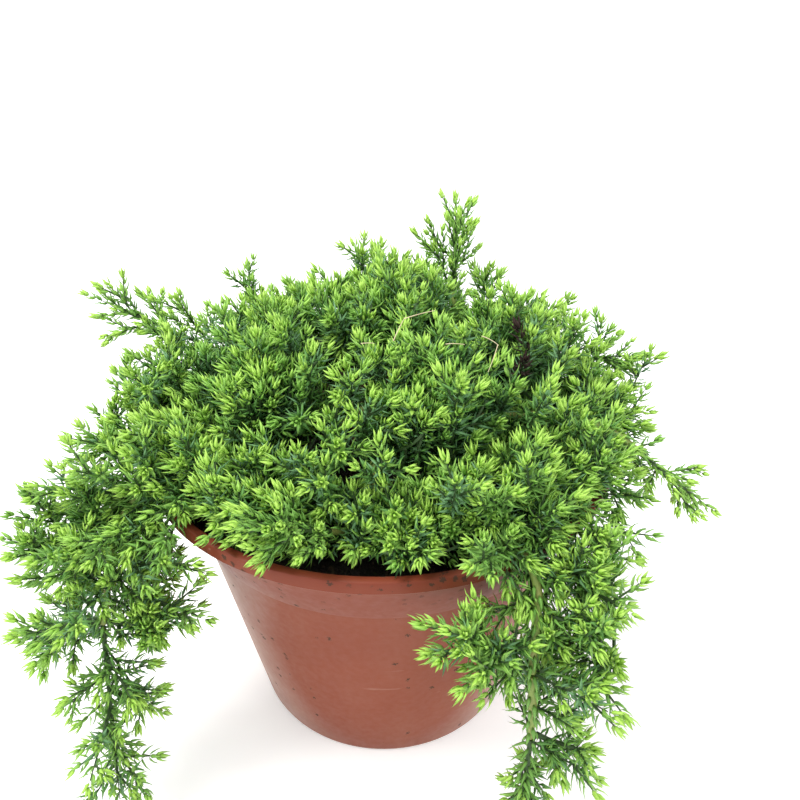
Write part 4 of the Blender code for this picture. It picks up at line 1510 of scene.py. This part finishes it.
STRAW = (0.66, 0.58, 0.38)
STRAW_DARK = (0.48, 0.38, 0.22)
STALKS = (
    # start, middle, end, radius
    ((0.0045, -0.0450, 0.1700), (0.0058, -0.0405, 0.1725), (0.0078, -0.0370, 0.1740), 0.00022),
    ((0.0076, -0.0374, 0.1738), (0.0120, -0.0350, 0.1752), (0.0168, -0.0325, 0.1745), 0.00019),
    ((-0.0048, -0.0465, 0.1698), (-0.0030, -0.0464, 0.1706), (-0.0010, -0.0467, 0.1700), 0.00016),
    ((0.0196, -0.0450, 0.1690), (0.0225, -0.0446, 0.1700), (0.0252, -0.0440, 0.1684), 0.00017),
    ((0.0305, -0.0400, 0.1694), (0.0335, -0.0400, 0.1698), (0.0354, -0.0418, 0.1672), 0.00021),
    ((0.0352, -0.0416, 0.1674), (0.0345, -0.0460, 0.1660), (0.0316, -0.0504, 0.1626), 0.00017),
)
straw, paint = new_material("dry_straw", Roughness=0.7)
fibres = paint.noise(paint.add("TexCoord", "Object"), 500.0, 3.0)
paint.finish(Base_Color=paint.mix(fibres, STRAW, STRAW_DARK))
stalk_chains = []
for *places, radius in STALKS:
    start, middle, end = [Vector(place) for place in places]
    arriving = ((end - middle).normalized() + 1.5 * (end - start).normalized()).normalized()
    stalk_chains.append(curved(start, end, arriving, 8, 0.8 * radius, 0.5 * radius))
stalks = mesh_piece("dry_stalks", *chain_mesh(stalk_chains, 6))
finish_piece(stalks, ["foliage_top"], straw, 60)


# The studio: a seamless white floor, a white sky all round, and a broad soft light above
# the front left with a weaker one on the right.

bpy.ops.mesh.primitive_plane_add(size=5.0, location=(0.0, -1.1, -0.0002))
floor = bpy.context.object
floor.name = "studio_floor"
bpy.ops.object.mode_set(mode="EDIT")
bpy.ops.mesh.select_all(action="DESELECT")
bpy.ops.object.mode_set(mode="OBJECT")
for edge in floor.data.edges:
    edge.select = all(floor.data.vertices[i].co.y > 1.0 for i in edge.vertices)
bpy.ops.object.mode_set(mode="EDIT")
bpy.ops.mesh.select_mode(type="EDGE")
for back, rise in ((0.30, 0.04), (0.24, 0.14), (0.16, 0.24), (0.05, 0.34), (0.0, 1.6)):
    bpy.ops.mesh.extrude_edges_move(TRANSFORM_OT_translate={"value": (0.0, back, rise)})
bpy.ops.object.mode_set(mode="OBJECT")
bpy.ops.object.shade_smooth()
paper, _ = new_material(
    "white_paper_sweep",
    Base_Color=(0.90, 0.90, 0.90),
    Roughness=0.8,
    Specular_IOR_Level=0.1,
    Emission_Color=(0.98, 0.99, 1.0),
    Emission_Strength=0.30,
)
floor.data.materials.append(paper)

sky = bpy.data.worlds.new("white_sky")
sky.use_nodes = True
background = {"Color": (0.97, 0.99, 1.0), "Strength": 1.0}
Painter(sky.node_tree).set(sky.node_tree.nodes["Background"], background)
bpy.context.scene.world = sky


def soft_light(name, place, target, size, watts, colour):
    data = bpy.data.lights.new(name, "AREA")
    data.shape = "DISK"
    data.size = size
    data.energy = watts
    data.color = colour
    light = placed(name, data)
    light.location = place
    light.rotation_euler = (Vector(target) - Vector(place)).to_track_quat("-Z", "Y").to_euler()


soft_light("window", (-0.5, -0.15, 1.1), (0.0, 0.0, 0.12), 0.55, 13.0, (1.0, 0.99, 0.97))
soft_light("bounce", (0.9, -0.5, 0.7), (0.0, 0.0, 0.10), 0.7, 4.0, (1.0, 1.0, 1.0))
view = bpy.context.scene.view_settings
view.view_transform = "Standard"
view.look = "None"
view.exposure = 0.0


# The camera: a telephone held a forearm's length away, looking down at the crown. Its
# place, tilt and lens are worked out from the rim, the collar and the base of the pot.

CAMERA_PLACE = (0.0064, -0.231, 0.250)
CAMERA_PITCH = 28.1
LENS = 31.5
SENSOR = 36.0

camera_data = bpy.data.cameras.new("camera")
camera_data.lens = LENS
camera_data.sensor_width = SENSOR
camera_data.clip_start = 0.01
camera = placed("camera", camera_data)
camera.location = CAMERA_PLACE
camera.rotation_euler = (math.radians(90.0 - CAMERA_PITCH), 0.0, 0.0)
bpy.context.scene.camera = camera
